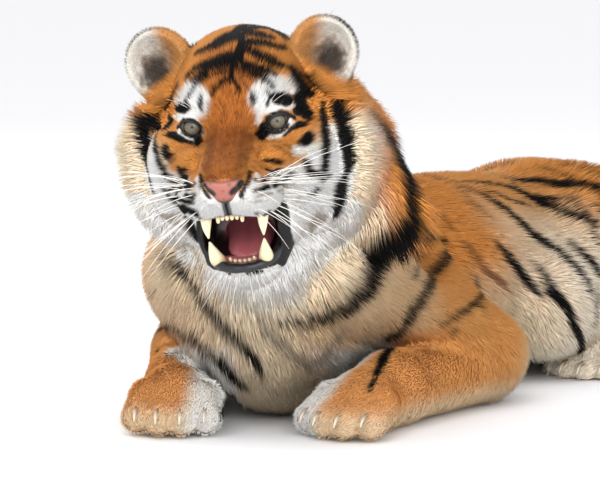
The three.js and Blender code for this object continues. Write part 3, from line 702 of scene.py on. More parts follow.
def surface_of(shape: Shape, low: Sequence[float], high: Sequence[float], cell: float) -> Tuple[Array, Array]:
    """The surface where a shape's distance is zero, as quads on a grid of cells.

    Args:
        shape: the distance, negative inside.
        low: the low corner of the box that is searched.
        high: its high corner.
        cell: the size of a cell.

    Returns:
        The vertices and the quads, facing out.
    """
    low, high = np.array(low, dtype=float), np.array(high, dtype=float)
    block = 8
    counts = np.ceil((high - low) / cell / block).astype(int)
    size = counts * block + 1
    corner = np.indices(counts).reshape(3, -1).T
    middles = low + (corner * block + block / 2) * cell
    centre = in_blocks(shape, middles, 64)
    near, sign = np.abs(centre), np.sign(centre)
    values = np.empty(size, dtype=np.float32)
    coarse = sign.reshape(counts)
    grown = np.repeat(np.repeat(np.repeat(coarse, block, 0), block, 1), block, 2)
    values[:] = np.pad(grown, ((0, 1), (0, 1), (0, 1)), mode="edge") * 1e3
    active = corner[near < block * cell * 1.5]
    offsets = np.indices((block + 1,) * 3).reshape(3, -1).T
    for i in range(0, len(active), 16):
        index = (active[i : i + 16, None, :] * block + offsets[None]).reshape(-1, 3)
        values[tuple(index.T)] = shape(low + index * cell)
    inside = values < 0
    cells = sum(
        inside[dx : size[0] - 1 + dx, dy : size[1] - 1 + dy, dz : size[2] - 1 + dz].astype(np.int8)
        for dx, dy, dz in product((0, 1), repeat=3)
    )
    place = np.argwhere((cells > 0) & (cells < 8))
    number = -np.ones(size - 1, dtype=np.int64)
    number[tuple(place.T)] = np.arange(len(place))
    total, hits = np.zeros((len(place), 3)), np.zeros(len(place))
    for axis in range(3):
        u, v = [a for a in range(3) if a != axis]
        for du, dv in product((0, 1), repeat=2):
            a = place.copy()
            a[:, u] += du
            a[:, v] += dv
            b = a.copy()
            b[:, axis] += 1
            fa, fb = values[tuple(a.T)], values[tuple(b.T)]
            cross = (fa < 0) != (fb < 0)
            point = a.astype(float)
            point[:, axis] += np.where(cross, fa / np.where(cross, fa - fb, 1), 0)
            total += point * cross[:, None]
            hits += cross
    verts = low + total / hits[:, None] * cell
    quads = []
    for axis in range(3):
        u, v = [(1, 2), (2, 0), (0, 1)][axis]
        ahead = np.roll(inside, -1, axis)
        change = inside != ahead
        change[tuple(slice(None) if a != axis else slice(size[axis] - 1, None) for a in range(3))] = False
        edges = np.argwhere(change)
        within = (edges[:, [u, v]] > 0) & (edges[:, [u, v]] < size[[u, v]] - 1)
        edges = edges[within.all(axis=1)]
        around = []
        for du, dv in ((0, 0), (-1, 0), (-1, -1), (0, -1)):
            c = edges.copy()
            c[:, u] += du
            c[:, v] += dv
            around.append(number[tuple(c.T)])
        quad = np.stack(around, axis=1)
        out = inside[tuple(edges.T)]
        quads.append(np.where(out[:, None], quad, quad[:, ::-1]))
    faces = np.concatenate(quads)
    slope = gradient(shape, verts, cell * 0.2)
    step = (in_blocks(shape, verts) / np.maximum((slope**2).sum(axis=1), 0.05))[:, None] * slope
    long = np.linalg.norm(step, axis=1, keepdims=True)
    return verts - step * np.minimum(1, cell * 0.7 / np.maximum(long, 1e-9)), faces


def gradient(shape: Shape, points: Array, step: float) -> Array:
    """The slope of a distance at points, by small steps along each axis."""
    here = in_blocks(shape, points)
    return np.stack([(in_blocks(shape, points + axis) - here) / step for axis in np.eye(3) * step], axis=1)


def to_row(points: Array) -> Array:
    """Points of the animal's frame, in millimetres, in the library's frame, in metres."""
    return (np.asarray(points) - MIDDLE) / 1000.0


def from_row(points: Array) -> Array:
    """Points of the library's frame, in metres, in the animal's frame, in millimetres."""
    return np.asarray(points) * 1000.0 + MIDDLE


def mesh_object(name: str, points: Array, faces: Faces, even: bool = True) -> Object:
    """A mesh object at the origin, from points of the animal's frame.

    Args:
        name: its name.
        points: its vertices in millimetres.
        faces: its faces, as lists of vertex numbers.
        even: whether it is shaded smooth.

    Returns:
        The object, linked to the scene.
    """
    mesh = bpy.data.meshes.new(name)
    faces = np.asarray(faces)
    count, wide = faces.shape
    mesh.vertices.add(len(points))
    mesh.vertices.foreach_set("co", to_row(points).astype(np.float32).ravel())
    mesh.loops.add(count * wide)
    mesh.loops.foreach_set("vertex_index", faces.astype(np.int32).ravel())
    mesh.polygons.add(count)
    mesh.polygons.foreach_set("loop_start", np.arange(0, count * wide, wide, dtype=np.int32))
    mesh.update(calc_edges=True)
    mesh.polygons.foreach_set("use_smooth", np.full(count, even))
    mesh.update()
    made = bpy.data.objects.new(name, mesh)
    bpy.context.scene.collection.objects.link(made)
    return made


def read(made: Object, what: str) -> Array:
    """Three numbers for each of an object's vertices."""
    flat = np.empty(len(made.data.vertices) * 3, dtype=np.float32)
    made.data.vertices.foreach_get(what, flat)
    return flat.reshape(-1, 3).astype(float)


def points_of(made: Object) -> Array:
    """An object's vertices in the animal's frame, in millimetres."""
    return from_row(read(made, "co"))


def dropped(surface: BVHTree, points: Array) -> Array:
    """The places on a surface that are nearest to points."""
    return from_row(np.array([surface.find_nearest(Vector(q))[0] for q in to_row(points)]))


def paint(made: Object, colours: Array, name: str = "hue") -> None:
    """Gives each vertex a colour.

    Args:
        made: the object.
        colours: a linear colour for all of it or for each vertex, three or four numbers each.
        name: the attribute's name.
    """
    values = np.ones((len(made.data.vertices), 4), dtype=np.float32)
    values[:, : colours.shape[-1]] = colours
    attribute = made.data.attributes.new(name, "FLOAT_COLOR", "POINT")
    attribute.data.foreach_set("color", values.ravel())


# ---------- speckle ----------
@dataclass
class Noise:
    """Smooth random numbers through space, the same each time for the same seed."""

    seed: int
    cells: int = 32

    def __post_init__(self) -> None:
        """Fills a small lattice with random numbers."""
        self.lattice = np.random.default_rng(self.seed).uniform(-1, 1, (self.cells,) * 3)

    def at(self, points: Array, size: float) -> Array:
        """The noise at points, with lumps of the given size."""
        scaled = points / size
        whole = np.floor(scaled).astype(int)
        t = scaled - whole
        t = t * t * (3 - 2 * t)
        total = np.zeros(len(points))
        for step in product((0, 1), repeat=3):
            share = np.abs(1 - np.array(step) - t).prod(axis=1)
            total += share * self.lattice[tuple(((whole + step) % self.cells).T)]
        return total


# ---------- the skin ----------
@dataclass
class Form:
    """The whole animal: its shape, its coat's depth and the way its hair lies."""

    pose: Pose
    body: Body
    head: Head
    blend: float = 22.0
    floor: float = 1.2
    nape: Point = (0, 146, 0)
    nape_way: Point = (0, 0.97, -0.22)

    def head_share(self, local: Array) -> Array:
        """How much a point belongs to the head rather than the body."""
        behind = (local - np.array(self.nape)) @ np.array(self.nape_way)
        return smooth(-behind, -40, 40) * smooth(local[:, 2], -400, -300)

    def shares(self, p: Array) -> Array:
        """How much each part of the body owns each point; a row of shares for each point."""
        distances = np.stack([part.shape(p) for part in self.body.parts], axis=1)
        weight = np.exp(-(distances - distances.min(axis=1, keepdims=True)) / self.blend)
        return weight / weight.sum(axis=1, keepdims=True)

    def coat_depth(self, p: Array) -> Array:
        """How far the skin lies inside the coat's tips."""
        local = self.pose.to_head(p)
        head = self.head_share(local)
        shares = self.shares(p)
        body = shares @ np.array([part.fur.depth for part in self.body.parts])
        return head * self.head.fur_depth(local) + (1 - head) * body

    def outline(self, p: Array) -> Array:
        """The distance to the coat's tips."""
        local = self.pose.to_head(p)
        near = np.abs(local).max(axis=1) < 420
        head = np.full(len(p), 1e4)
        if near.any():
            head[near] = soft_min(self.head.shape(local[near]), self.head.ears(local[near]), 8)
        return soft_min(self.body.shape(p), head, 40)

    def skin(self, p: Array) -> Array:
        """The distance to the skin, opened round the eyes, and flat where it meets the floor."""
        distance = self.outline(p)
        close = np.abs(distance) < 60
        if close.any():
            distance[close] += self.coat_depth(p[close])
        distance = self.head.brows(distance, self.pose.to_head(p))
        return soft_max(distance, self.floor - p[:, 2], 6)

    def lie(self, p: Array, normals: Array) -> Array:
        """The way the hair points at places on the skin, along the skin."""
        local = self.pose.to_head(p)
        head = self.head_share(local)[:, None]
        ways = unit(np.array([part.fur.lie for part in self.body.parts], dtype=float))
        body = self.shares(p) @ ways
        tail = next(i for i, part in enumerate(self.body.parts) if part.name == "tail")
        course = self.body.tail_course(60)
        near = ((p[:, None, :] - course[None, ::3]) ** 2).sum(axis=2).argmin(axis=1) * 3
        run = unit(course[np.minimum(near + 1, 60)] - course[np.maximum(near - 1, 0)])
        share = self.shares(p)[:, tail : tail + 1]
        body = body * (1 - share) + run * share
        way = head * (self.head.lie(local) @ self.pose.head_turn().T) + (1 - head) * body
        return unit(way - (way * normals).sum(axis=1, keepdims=True) * normals + 1e-6)


@dataclass
class Skin:
    """One skin for the whole animal, finer over the head."""

    form: Form
    body_cell: float = 11.0
    head_cell: float = 3.4

    def build(self) -> Object:
        """Makes the skin."""
        body = self.body_net()
        head = self.head_net()
        return self.joined(body, head)

    def body_net(self) -> Object:
        """The body, cut off at the nape."""
        points, faces = surface_of(self.form.skin, (-530, -640, -16), (410, 1110, 620), self.body_cell)
        made = mesh_object("body_skin", points, faces)
        self.cut(made, 0.0, keep_back=True)
        return made

    def head_net(self) -> Object:
        """The head, cut off at the nape, worked out in its own frame."""
        shape = lambda q: self.form.skin(self.form.pose.from_head(q))
        points, faces = surface_of(shape, (-250, -190, -340), (250, 200, 170), self.head_cell)
        made = mesh_object("head_skin", self.form.pose.from_head(points), faces)
        self.cut(made, -3.0, keep_back=False)
        return made

    def cut(self, made: Object, shift: float, keep_back: bool) -> None:
        """Cuts a mesh along the nape and keeps one side.

        Args:
            made: the mesh.
            shift: how far behind the nape the cut lies.
            keep_back: whether the body's side is kept.
        """
        pose, normal = self.form.pose, np.array(self.form.nape_way)
        place = pose.from_head(np.array(self.form.nape) + normal * shift)
        world_normal = normal @ pose.head_turn().T
        work = bmesh.new()
        work.from_mesh(made.data)
        work.verts.ensure_lookup_table()
        local = pose.to_head(points_of(made))
        near = (np.abs(local[:, 0]) < 300) & (local[:, 2] > -330) & (local[:, 1] < 330) & (local[:, 1] > -260)
        chosen = [f for f in work.faces if not keep_back or all(near[v.index] for v in f.verts)]
        parts = [*{v for f in chosen for v in f.verts}, *{e for f in chosen for e in f.edges}, *chosen]
        bmesh.ops.bisect_plane(work, geom=parts, dist=1e-6, plane_co=to_row(place), plane_no=world_normal)
        work.verts.ensure_lookup_table()
        flat = from_row(np.array([v.co for v in work.verts]))
        side = (flat - place) @ world_normal
        local = pose.to_head(flat)
        if keep_back:
            drop = (side < -1e-3) & (np.abs(local[:, 0]) < 260) & (local[:, 2] > -300)
        else:
            drop = side > 1e-3
        bmesh.ops.delete(work, geom=[v for v, gone in zip(work.verts, drop) if gone], context="VERTS")
        work.to_mesh(made.data)
        work.free()

    def joined(self, body: Object, head: Object) -> Object:
        """The two halves as one mesh, bridged along the nape."""
        bpy.ops.object.select_all(action="DESELECT")
        for piece in (body, head):
            piece.select_set(True)
        bpy.context.view_layer.objects.active = body
        bpy.ops.object.join()
        work = bmesh.new()
        work.from_mesh(body.data)
        rim = [e for e in work.edges if e.is_boundary]
        bmesh.ops.bridge_loops(work, edges=rim)
        bmesh.ops.triangulate(work, faces=[f for f in work.faces if len(f.verts) > 4])
        bmesh.ops.recalc_face_normals(work, faces=list(work.faces))
        for f in work.faces:
            f.smooth = True
        work.to_mesh(body.data)
        loose = sum(1 for e in work.edges if e.is_boundary)
        LOG.info("skin: %d faces, %d open edges", len(work.faces), loose)
        work.free()
        body.name = body.data.name = "skin"
        return body


# ---------- colours and markings ----------
def linear(colour: Sequence[float]) -> Array:
    """A colour given as 0 to 255, as the light it stands for."""
    c = np.asarray(colour, dtype=float) / 255.0
    return np.where(c <= 0.04045, c / 12.92, ((c + 0.055) / 1.055) ** 2.4)


def mix(a: Array, b: Array, share: Array) -> Array:
    """Colours a turned into b by each share."""
    return a + (b - a) * share[:, None]


@dataclass(frozen=True)
class Palette:
    """The coat's colours, 0 to 255."""

    orange: Point = (224, 150, 74)
    deep_orange: Point = (190, 112, 48)
    tan: Point = (232, 182, 120)
    cream: Point = (248, 219, 184)
    white: Point = (255, 253, 248)
    # Grey hair, and also painted shade in two smears low in the ruff.
    grey: Point = (158, 146, 130)
    brown: Point = (112, 62, 32)
    black: Point = (7, 6, 5)
    lip: Point = (11, 9, 9)
    gum: Point = (122, 62, 66)

    def tone(self, name: str) -> Array:
        """A colour by its name, as light."""
        return linear(getattr(self, name))


@dataclass(frozen=True)
class View:
    """The side that the animal is looked at from: its brow's place in the row, and the viewer's direction."""

    brow: Point = (0.24459, -0.73796, 0.484)
    azimuth: float = 35.0
    elevation: float = 4.5
    distance: float = 5.6

    def back(self) -> Vector:
        """The way from the brow to the viewer."""
        az, el = math.radians(self.azimuth), math.radians(self.elevation)
        return Vector((math.sin(az) * math.cos(el), -math.cos(az) * math.cos(el), math.sin(el)))

    def eye(self) -> Vector:
        """Where the viewer is."""
        return Vector(self.brow) + self.back() * self.distance

    def ray(self, right: float, up: float) -> Vector:
        """The way from the viewer to a spot of the sheet through the brow, in millimetres from the brow."""
        turn = self.back().to_track_quat("Z", "Y")
        spot = Vector(self.brow) + turn @ Vector((right / 1000, up / 1000, 0))
        return (spot - self.eye()).normalized()


class Tone(Enum):
    """The tones of the markings, in the order in which they are laid."""

    BROWN = "brown"
    CREAM = "cream"
    GREY = "grey"
    WHITE = "white"
    BLACK = "black"


@dataclass
class Stripe:
    """One marking: its tone, its middle line and its half width along it."""

    tone: Tone
    line: Array
    widths: Array

    def dense(self, step: float) -> Tuple[Array, Array]:
        """Points close together along the middle line, and the half width at each."""
        points, widths = [self.line[:1]], [self.widths[:1]]
        for i in range(len(self.line) - 1):
            n = max(1, int(np.linalg.norm(self.line[i + 1] - self.line[i]) / step))
            t = np.arange(1, n + 1)[:, None] / n
            points.append(self.line[i] + t * (self.line[i + 1] - self.line[i]))
            widths.append(self.widths[i] + t[:, 0] * (self.widths[i + 1] - self.widths[i]))
        return np.concatenate(points), np.concatenate(widths)


@dataclass
class Markings:
    """The coat's colour at any place on the skin, as the drawn markings and the bands give it."""

    form: Form
    skin: Object
    coat: Sequence[Object]
    view: View = View()
    palette: Palette = Palette()
    face_felt: float = 1.2
    body_felt: float = 2.2
    least_seen: float = 0.42
    tail_rings: float = 10.5

    def __post_init__(self) -> None:
        """Lays the stripes on the skin."""
        self.pose, self.head = self.form.pose, self.form.head
        self.wobble = [Noise(seed) for seed in (3, 4, 5)]
        self.patch = Noise(9)
        graph = bpy.context.evaluated_depsgraph_get()
        self.bounds = BVHTree.FromObject(self.skin, graph)
        self.seen = [self.bounds, *[BVHTree.FromObject(piece, graph) for piece in self.coat]]
        face = [self.drawn(row, self.face_felt) for row in FACE_MARKS.split("\n") if row]
        for stripe in face:
            stripe.widths = stripe.widths * 1.3 + 1.2 if stripe.tone is Tone.BLACK else stripe.widths + 0.8
        self.face = self.laid(face, 2.0)
        body = [self.drawn(row, self.body_felt) for row in BODY_MARKS.split("\n") if row]
        self.body = self.laid([*body, *self.other_side(body), *self.bands(), *self.nape()], 4.0)
        spots = [(s, row, col) for s in SIDES.values() for row in range(5) for col in range(row % 2, 6, 2)]
        roots = self.pose.from_head(np.array([self.head.whisker_root(*spot) for spot in spots]))
        self.dots = self.pose.to_head(dropped(self.bounds, roots))

    def drawn(self, row: str, spread: float) -> Stripe:
        """A marking from a row of text, thrown on the coat.

        Args:
            row: its tone and points.
            spread: how far round each point the coat is felt, so that no single tuft decides its place.

        Returns:
            The marking, on the skin under the tufts that are seen there.
        """
        tone, *points = row.split() if row[0].isalpha() else (Tone.BLACK.value, *row.split())
        values = np.array([[float(v) for v in point.split(",")] for point in points])
        line = []
        for right, up, _ in values:
            turns = [k * math.pi / 4 for k in range(8)]
            around = [(0, 0), *[(spread * math.cos(turn), spread * math.sin(turn)) for turn in turns]]
            felt = [self.bounds.find_nearest(self.struck(right + a, up + b))[0] for a, b in around]
            line.append(np.median(np.array(felt), axis=0))
        line = np.array(line)
        normals = np.array([self.bounds.find_nearest(Vector(p))[1] for p in line])
        across = unit(np.cross(normals, unit(np.gradient(line, axis=0))))
        seen = np.sqrt(1 - np.minimum((across @ np.array(self.view.back())) ** 2, 1))
        return Stripe(Tone(tone), from_row(line), values[:, 2] / np.maximum(seen, self.least_seen))

    def struck(self, right: float, up: float) -> Vector:
        """The place seen at a spot of the sheet, or the nearest on the skin where the view goes past it."""
        eye, way = self.view.eye(), self.view.ray(right, up)
        hits = [hit for hit in (tree.ray_cast(eye, way) for tree in self.seen) if hit[0] is not None]
        if hits:
            return min(hits, key=lambda hit: hit[3])[0]
        along_way = [eye + way * (self.view.distance + step * 0.02) for step in range(-30, 60)]
        return min(map(self.bounds.find_nearest, along_way), key=lambda hit: hit[3])[0]

    def laid(self, stripes: List[Stripe], step: float) -> Dict[Tone, Tuple[Array, Array]]:
        """Stripes put on the skin, as points and half widths for each tone."""
        out: Dict[Tone, Tuple[Array, Array]] = {}
        for tone in Tone:
            points, widths = [], []
            for stripe in stripes:
                if stripe.tone is not tone:
                    continue
                line, wide = stripe.dense(step)
                points.append(dropped(self.bounds, line))
                widths.append(wide)
            if points:
                out[tone] = (np.concatenate(points), np.concatenate(widths))
        return out

    def other_side(self, stripes: List[Stripe]) -> List[Stripe]:
        """The flank's stripes again on the far side, moved and bent so that they differ."""
        rng, out = np.random.default_rng(12), []
        for stripe in stripes:
            if stripe.line[:, 1].min() > -150 and stripe.line[:, 0].mean() > 20:
                moved = np.array([0, rng.uniform(-30, 10), rng.uniform(-12, 12)])
                line = stripe.line * (-1, 1, 1) + moved
                line[:, 1] += 14 * np.sin(np.linspace(0, 3, len(line)) + rng.uniform(0, 6))
                out.append(Stripe(stripe.tone, line, stripe.widths * rng.uniform(0.8, 1.2)))
        return out

    def bands(self) -> List[Stripe]:
        """The stripes behind the flank: over the rump and thighs, across the back and down the far side."""
        rng, behind, out = np.random.default_rng(5), np.random.default_rng(6), []
        for s in SIDES.values():
            for heading in np.radians([12, 32, 52, 72]):
                height = np.linspace(340, 70 + 50 * behind.random(), 10)
                swing = heading + 0.12 * np.sin(height / 45 + behind.uniform(0, 6))
                line = np.stack([s * 300 * np.cos(swing), 700 + 300 * np.sin(swing), height], axis=1)
                wide = 2 + behind.uniform(5, 8) * np.sin(np.linspace(0.3, 2.9, 10))
                out.append(Stripe(Tone.BLACK, line, wide))
            for y in np.arange(470 if s > 0 else 300, 850, 52):
                turn = np.linspace(1.45, -0.25 - 0.3 * rng.random(), 12)
                bend = 30 * np.sin(turn * 2 + rng.uniform(0, 6)) + 50 * (1.4 - turn)
                line = np.stack([s * 330 * np.cos(turn), y + bend * 0.6, 150 + 300 * np.sin(turn)], axis=1)
                wide = 9 * np.sin(np.linspace(0.25, 2.9, 12)) * rng.uniform(0.7, 1.15) + 1
                if rng.random() < 0.4:
                    cut = rng.integers(4, 8)
                    out.append(Stripe(Tone.BLACK, line[:cut], wide[:cut] * np.linspace(1, 0.4, cut)))
                    line, wide = line[cut:] + (0, 16, 0), wide[cut:]
                out.append(Stripe(Tone.BLACK, line, wide))
            for k in range(5):
                y = 420 + 60 * k
                line = np.array([[s * 330, y, 190 - 8 * k], [s * 330, y - 30, 130], [s * 320, y - 36, 80]])
                out.append(Stripe(Tone.BLACK, line, np.array([3, 7, 4])))
            for k in range(3):
                out_by, y = (55, 30 - 80 * k) if s > 0 else (0, -160 - 80 * k)
                line = np.array([[s * 175 + out_by, y, 130], [s * 120 + out_by, y - 6, 100]])
                out.append(Stripe(Tone.BLACK, line, np.array([4, 3])))
        return out

    def nape(self) -> List[Stripe]:
        """Short bands across the neck and the back, parted at the spine and longer on the far side."""
        rng, out = np.random.default_rng(21), []
        chest, nape = self.pose.chest, self.pose.from_head((0, 170, 0))
        spine = np.array([nape, chest(0, -210, 300), chest(0, -60, 250), (0, 300, 230)])
        for place in np.linspace(0.1, 2.9, 14):
            k = min(int(place), 2)
            course = spine[k + 1] - spine[k]
            side = unit(np.cross(course, (0, 0, 1)))
            for s in SIDES.values():
                turn = np.linspace(0.06, 0.4 if s > 0 else rng.uniform(0.8, 1.5), 7)[:, None]
                arch = 230 * (np.cos(turn) * [0, 0, 1] + s * np.sin(turn) * side)
                line = spine[k] + (place - k) * course + arch
                line = line + unit(course) * (40 * turn + rng.uniform(-12, 12))
                wide = 1 + rng.uniform(5, 8) * np.sin(np.linspace(0.5, 3.0, 7))
                out.append(Stripe(Tone.BLACK, line, wide))
        return out

    def reach(self, points: Array, laid: Tuple[Array, Array]) -> Array:
        """How far each point lies outside the nearest stripe, negative inside it."""
        centres, widths = laid[0].astype(np.float32), laid[1].astype(np.float32)
        square = (centres**2).sum(axis=1)

        def outside(p: Array) -> Array:
            """The same for one block of points."""
            away = (p**2).sum(axis=1)[:, None] + square - 2 * p @ centres.T
            return (np.sqrt(np.maximum(away, 0)) - widths).min(axis=1)

        return in_blocks(outside, points.astype(np.float32), 4000)

    def base(self, p: Array, local: Array) -> Array:
        """The ground colour under the markings."""
        tone = self.palette.tone
        _, y, z = p.T
        cloud = self.patch.at(p, 70)
        colour = mix(tone("orange"), tone("tan"), smooth(-z + 30 * cloud, -220, -90) * 0.65)
        colour = mix(colour, tone("cream"), smooth(-z + 20 * cloud, -130, -30) * 0.85)
        flank = smooth(y + 30 * cloud, 190, 380) * smooth(-y, -620, -480)
        colour = mix(colour, tone("tan"), flank * smooth(-z + 30 * cloud, -370, -250) * 0.75)
        colour = mix(colour, tone("cream"), flank * smooth(-z + 20 * cloud, -320, -200) * 0.8)
        colour = mix(colour, tone("cream"), smooth(y, 80, 200) * smooth(-z + 20 * cloud, -240, -130) * 0.9)
        colour = mix(colour, tone("white"), flank * smooth(-z + 20 * cloud, -290, -170) * 0.4)
        front = away_from(p, self.pose.chest(10, -360, 190), (200, 225, 215))
        colour = mix(colour, tone("cream"), smooth(-front, -1.25, -0.75))
        colour = mix(colour, linear((222, 208, 180)), smooth(-front, -1.0, -0.4) * 0.6)
        shoulder = away_from(p, (190, -205, 195), (110, 150, 150))
        colour = mix(colour, linear((228, 200, 158)), smooth(-shoulder, -1.25, -0.65) * 0.75)
        throat = away_from(local, (40, 120, -190), (150, 130, 120))
        colour = mix(colour, tone("white"), smooth(-throat, -1.2, -0.6) * 0.9)
        for side, s in SIDES.items():
            wrist, yaw, _ = self.form.body.paws["fore_" + side]
            own = (p - wrist) @ turned(0, 0, yaw)
            leg = smooth(-np.abs(own[:, 0]), -110, -80) * smooth(own[:, 1], -220, -190)
            leg = leg * smooth(-own[:, 1], -330, -260) * smooth(-z, -150, -120)
            colour = mix(colour, linear((228, 160, 88)), leg * smooth(z, 24, 60) * 0.9)
            colour = mix(colour, tone("white"), leg * smooth(-s * own[:, 0], 8, 40) * 0.85)
        return mix(colour, self.face_base(local, cloud), self.form.head_share(local))

    def face_base(self, local: Array, cloud: Array) -> Array:
        """The head's ground colour: orange above, brown down the nose, white at cheeks, brows and chin."""
        tone = self.palette.tone
        x, y, z = local.T
        wide = np.abs(x)
        bridge = smooth(-wide, -34, -14) * smooth(-y, 10, 60) * smooth(z, -62, -50)
        crown = smooth(-np.abs(y + 10), -90, -30) * smooth(-wide, -60, -20)
        colour = mix(tone("orange"), tone("deep_orange"), crown * 0.8)
        colour = mix(colour, linear((156, 88, 42)), bridge * 0.8)
        cheek = smooth(wide + 6 * cloud, 88, 116) * smooth(-z + 8 * cloud, 4, 40)
        colour = mix(colour, tone("cream"), cheek * smooth(-z, -10, 40))
        low = smooth(-z + 6 * cloud + 0.22 * (wide - 40), 58, 80) * smooth(wide, 18, 40)
        colour = mix(colour, tone("white"), np.maximum(low, cheek * smooth(-z, 20, 60)) * 0.95)
        colour = mix(colour, tone("white"), smooth(-z, 104, 124))
        brow = np.minimum(*[away_from(local, (s * 56, -8, 40), (30, 46, 25)) for s in (1, -1)])
        colour = mix(colour, tone("white"), smooth(-brow, -1.15, -0.85) * 0.95)
        under = smooth(-y, 96, 112) * smooth(-z, 70, 78)
        colour = mix(colour, tone("white"), under)
        colour = mix(colour, linear((70, 66, 72)), smooth(-wide, -8, -4.5) * under * 0.85)
        colour = mix(colour, tone("black"), smooth(-wide, -3.0, -1.2) * under * 0.85)
        mottle = smooth(self.patch.at(local, 6.5) + 0.7 * self.wobble[0].at(local, 3.4), 0.05, 0.5)
        tinted = smooth(-wide, -66, -40) * smooth(-y, -60, -10)
        tinted = tinted * (1 - np.maximum(under, smooth(-brow, -1.15, -0.85)))
        colour = mix(colour, linear((120, 62, 26)), mottle * tinted * 0.5 * smooth(z, -76, -56))
        flank = smooth(-np.abs(wide - 26), -12, -4) * smooth(-y, 20, 60) * smooth(z, -70, -40)
        return mix(colour, linear((96, 44, 18)), flank * 0.55)

    def ears(self, colour: Array, local: Array, facing: Array) -> Array:
        """The ears: white hair inside, darkening with painted shade into the hollow, black backs and a thin
        black rim.
        """
        tone = self.palette.tone
        for s in SIDES.values():
            out, up, ring = self.head.in_ear(s, local)
            behind = local[:, 1] - self.head.ear_middle[1]
            on = smooth(-self.head.ear(s)(local), -16, -4) * smooth(up + 0.5 * out, -36, -16)
            base = smooth(-out + 0.25 * up, -6, 26)
            inside = mix(linear((238, 232, 222)), linear((206, 146, 84)), base)
            rough = self.wobble[1].at(local, 6)
            # Darker towards the hollow: brown hair round it, and painted shade that goes near black at its
            # middle.
            deep = smooth(0.3 * rough - np.hypot((out - 4) / 34, (up + 8) / 42), -1.2, -0.5)
            inside = mix(inside, linear((142, 110, 82)), deep * 0.7)
            inside = mix(inside, linear((44, 35, 31)), smooth(0.2 * rough - ring, -1.25, -0.45) * 0.88)
            rim = smooth(np.hypot(out / 55, up / 59), 0.9, 0.96)
            back = smooth(behind, -8, 4) * smooth(facing, 0.1, 0.4)
            inside = mix(inside, tone("black"), np.maximum(back, rim * smooth(behind, -12, -4)))
            spot = smooth(-np.hypot((out - 2) / 22, (up - 14) / 20), -1, -0.8) * back
            colour = mix(colour, mix(inside, tone("white"), spot), on)
        return colour

    def tail(self, colour: Array, p: Array) -> Array:
        """The tail's rings, and its black tip."""
        steps = 120
        course = self.form.body.tail_course(steps)
        own = (p[:, 1] > 780) | (p[:, 0] < -330)
        if own.any():
            q = p[own]
            nearest = lambda some: ((some[:, None] - course) ** 2).sum(axis=2).argmin(axis=1)
            index = in_blocks(nearest, q, 4000)
            away = away_from(q, course[index])
            t = index / steps + 0.006 * self.patch.at(q, 25)
            ring = smooth(np.sin(t * 2 * math.pi * self.tail_rings), 0.15, 0.5)
            ring = np.maximum(ring, smooth(t, 0.955, 0.97)) * smooth(-away, -70, -58) * smooth(t, 0.06, 0.1)
            pale = mix(colour[own], linear((214, 176, 128)), smooth(t, 0.1, 0.4) * 0.6)
            colour[own] = mix(pale, self.palette.tone("black"), ring)
        return colour

    def colour(self, p: Array, normals: Array, feather: float = 0.0, seed: int = 0) -> Array:
        """The coat's colour.

        Args:
            p: places on the skin.
            normals: the skin's normals there.
            feather: how raggedly the stripes end, in millimetres.
            seed: what the raggedness starts from.

        Returns:
            A colour for each place, as light.
        """
        local = self.pose.to_head(p)
        colour = self.base(p, local)
        rng = np.random.default_rng(seed)
        bent = p + np.stack([noise.at(p, 17) for noise in self.wobble], axis=1) * 3.2
        finer = p + np.stack([noise.at(p, 9) for noise in self.wobble], axis=1) * 1.3
        near = away_from(local, (0, 0, 0)) < 330
        ragged = rng.normal(0, 1, len(p)) * feather
        for s in SIDES.values():
            gap = self.head.opening_gap(local, s)
            low = (local - self.head.eye(s)) @ self.head.eye_axes(s)[1]
            pale = smooth(-gap, -8.5, -6.5) * smooth(-low, 1, 6) * 0.95
            colour = mix(colour, self.palette.tone("white"), pale)
        everywhere = np.ones(len(p), bool)
        layers = ((self.body, everywhere, bent, 2.6, 1.0), (self.face, near, finer, 1.5, 0.5))
        for tone in Tone:
            for laid, where, place, soft, rag in layers:
                if tone not in laid or not where.any():
                    continue
                away = self.reach(place[where], laid[tone]) + ragged[where] * rag
                share = smooth(-away, -soft, soft) * (1.0 if tone is Tone.BLACK else 0.8)
                colour[where] = mix(colour[where], self.palette.tone(tone.value), share)
        for s in SIDES.values():
            gap = self.head.opening_gap(local, s) + 0.8 * self.wobble[0].at(local, 6)
            own = (local - self.head.eye(s)) @ self.head.eye_axes(s).T
            above = smooth(own[:, 1], -2, 8)
            rim = smooth(-gap, -3.2 - 4.0 * above, -2.0 - 4.0 * above)
            colour = mix(colour, self.palette.tone("black"), rim)
        colour = self.ears(colour, local, normals @ self.pose.head_turn()[:, 1])
        colour = self.tail(colour, p)
        pad = away_from(local, self.dots.mean(axis=0)) < 110
        if pad.any():
            dot = np.linalg.norm(local[pad][:, None] - self.dots, axis=2).min(axis=1) + ragged[pad]
            colour[pad] = mix(colour[pad], linear((52, 44, 40)), smooth(-dot, -5.6, -3.0) * 0.85)
        return self.mouth(colour, local)

    def mouth(self, colour: Array, local: Array) -> Array:
        """Black lips round the mouth, and the flesh inside it."""
        tone, head = self.palette.tone, self.head
        near = (np.abs(local[:, 0]) < 90) & (local[:, 2] < -70) & (local[:, 2] > -260) & (local[:, 1] < 80)
        if near.any():
            q = local[near]
            space = head.mouth(q)
            flesh = mix(tone("lip"), tone("gum"), smooth(-np.abs(q[:, 0]), -46, -30) * smooth(-space, -1, 6))
            edge = head.lip_margin(q) + 1.5
            colour[near] = mix(colour[near], flesh, smooth(edge - space, -1.5, 1.5))
        return colour


# ---------- the coat ----------
@dataclass(frozen=True)
class Lock:
    """How the tufts of one piece of the coat are made, in millimetres."""

    name: str
    count: int
    width: float
    length: float
    lift: float = 0.36
    bends: bool = False
    tangle: float = 0.22
    lump: float = 16.0
    over: str = ""


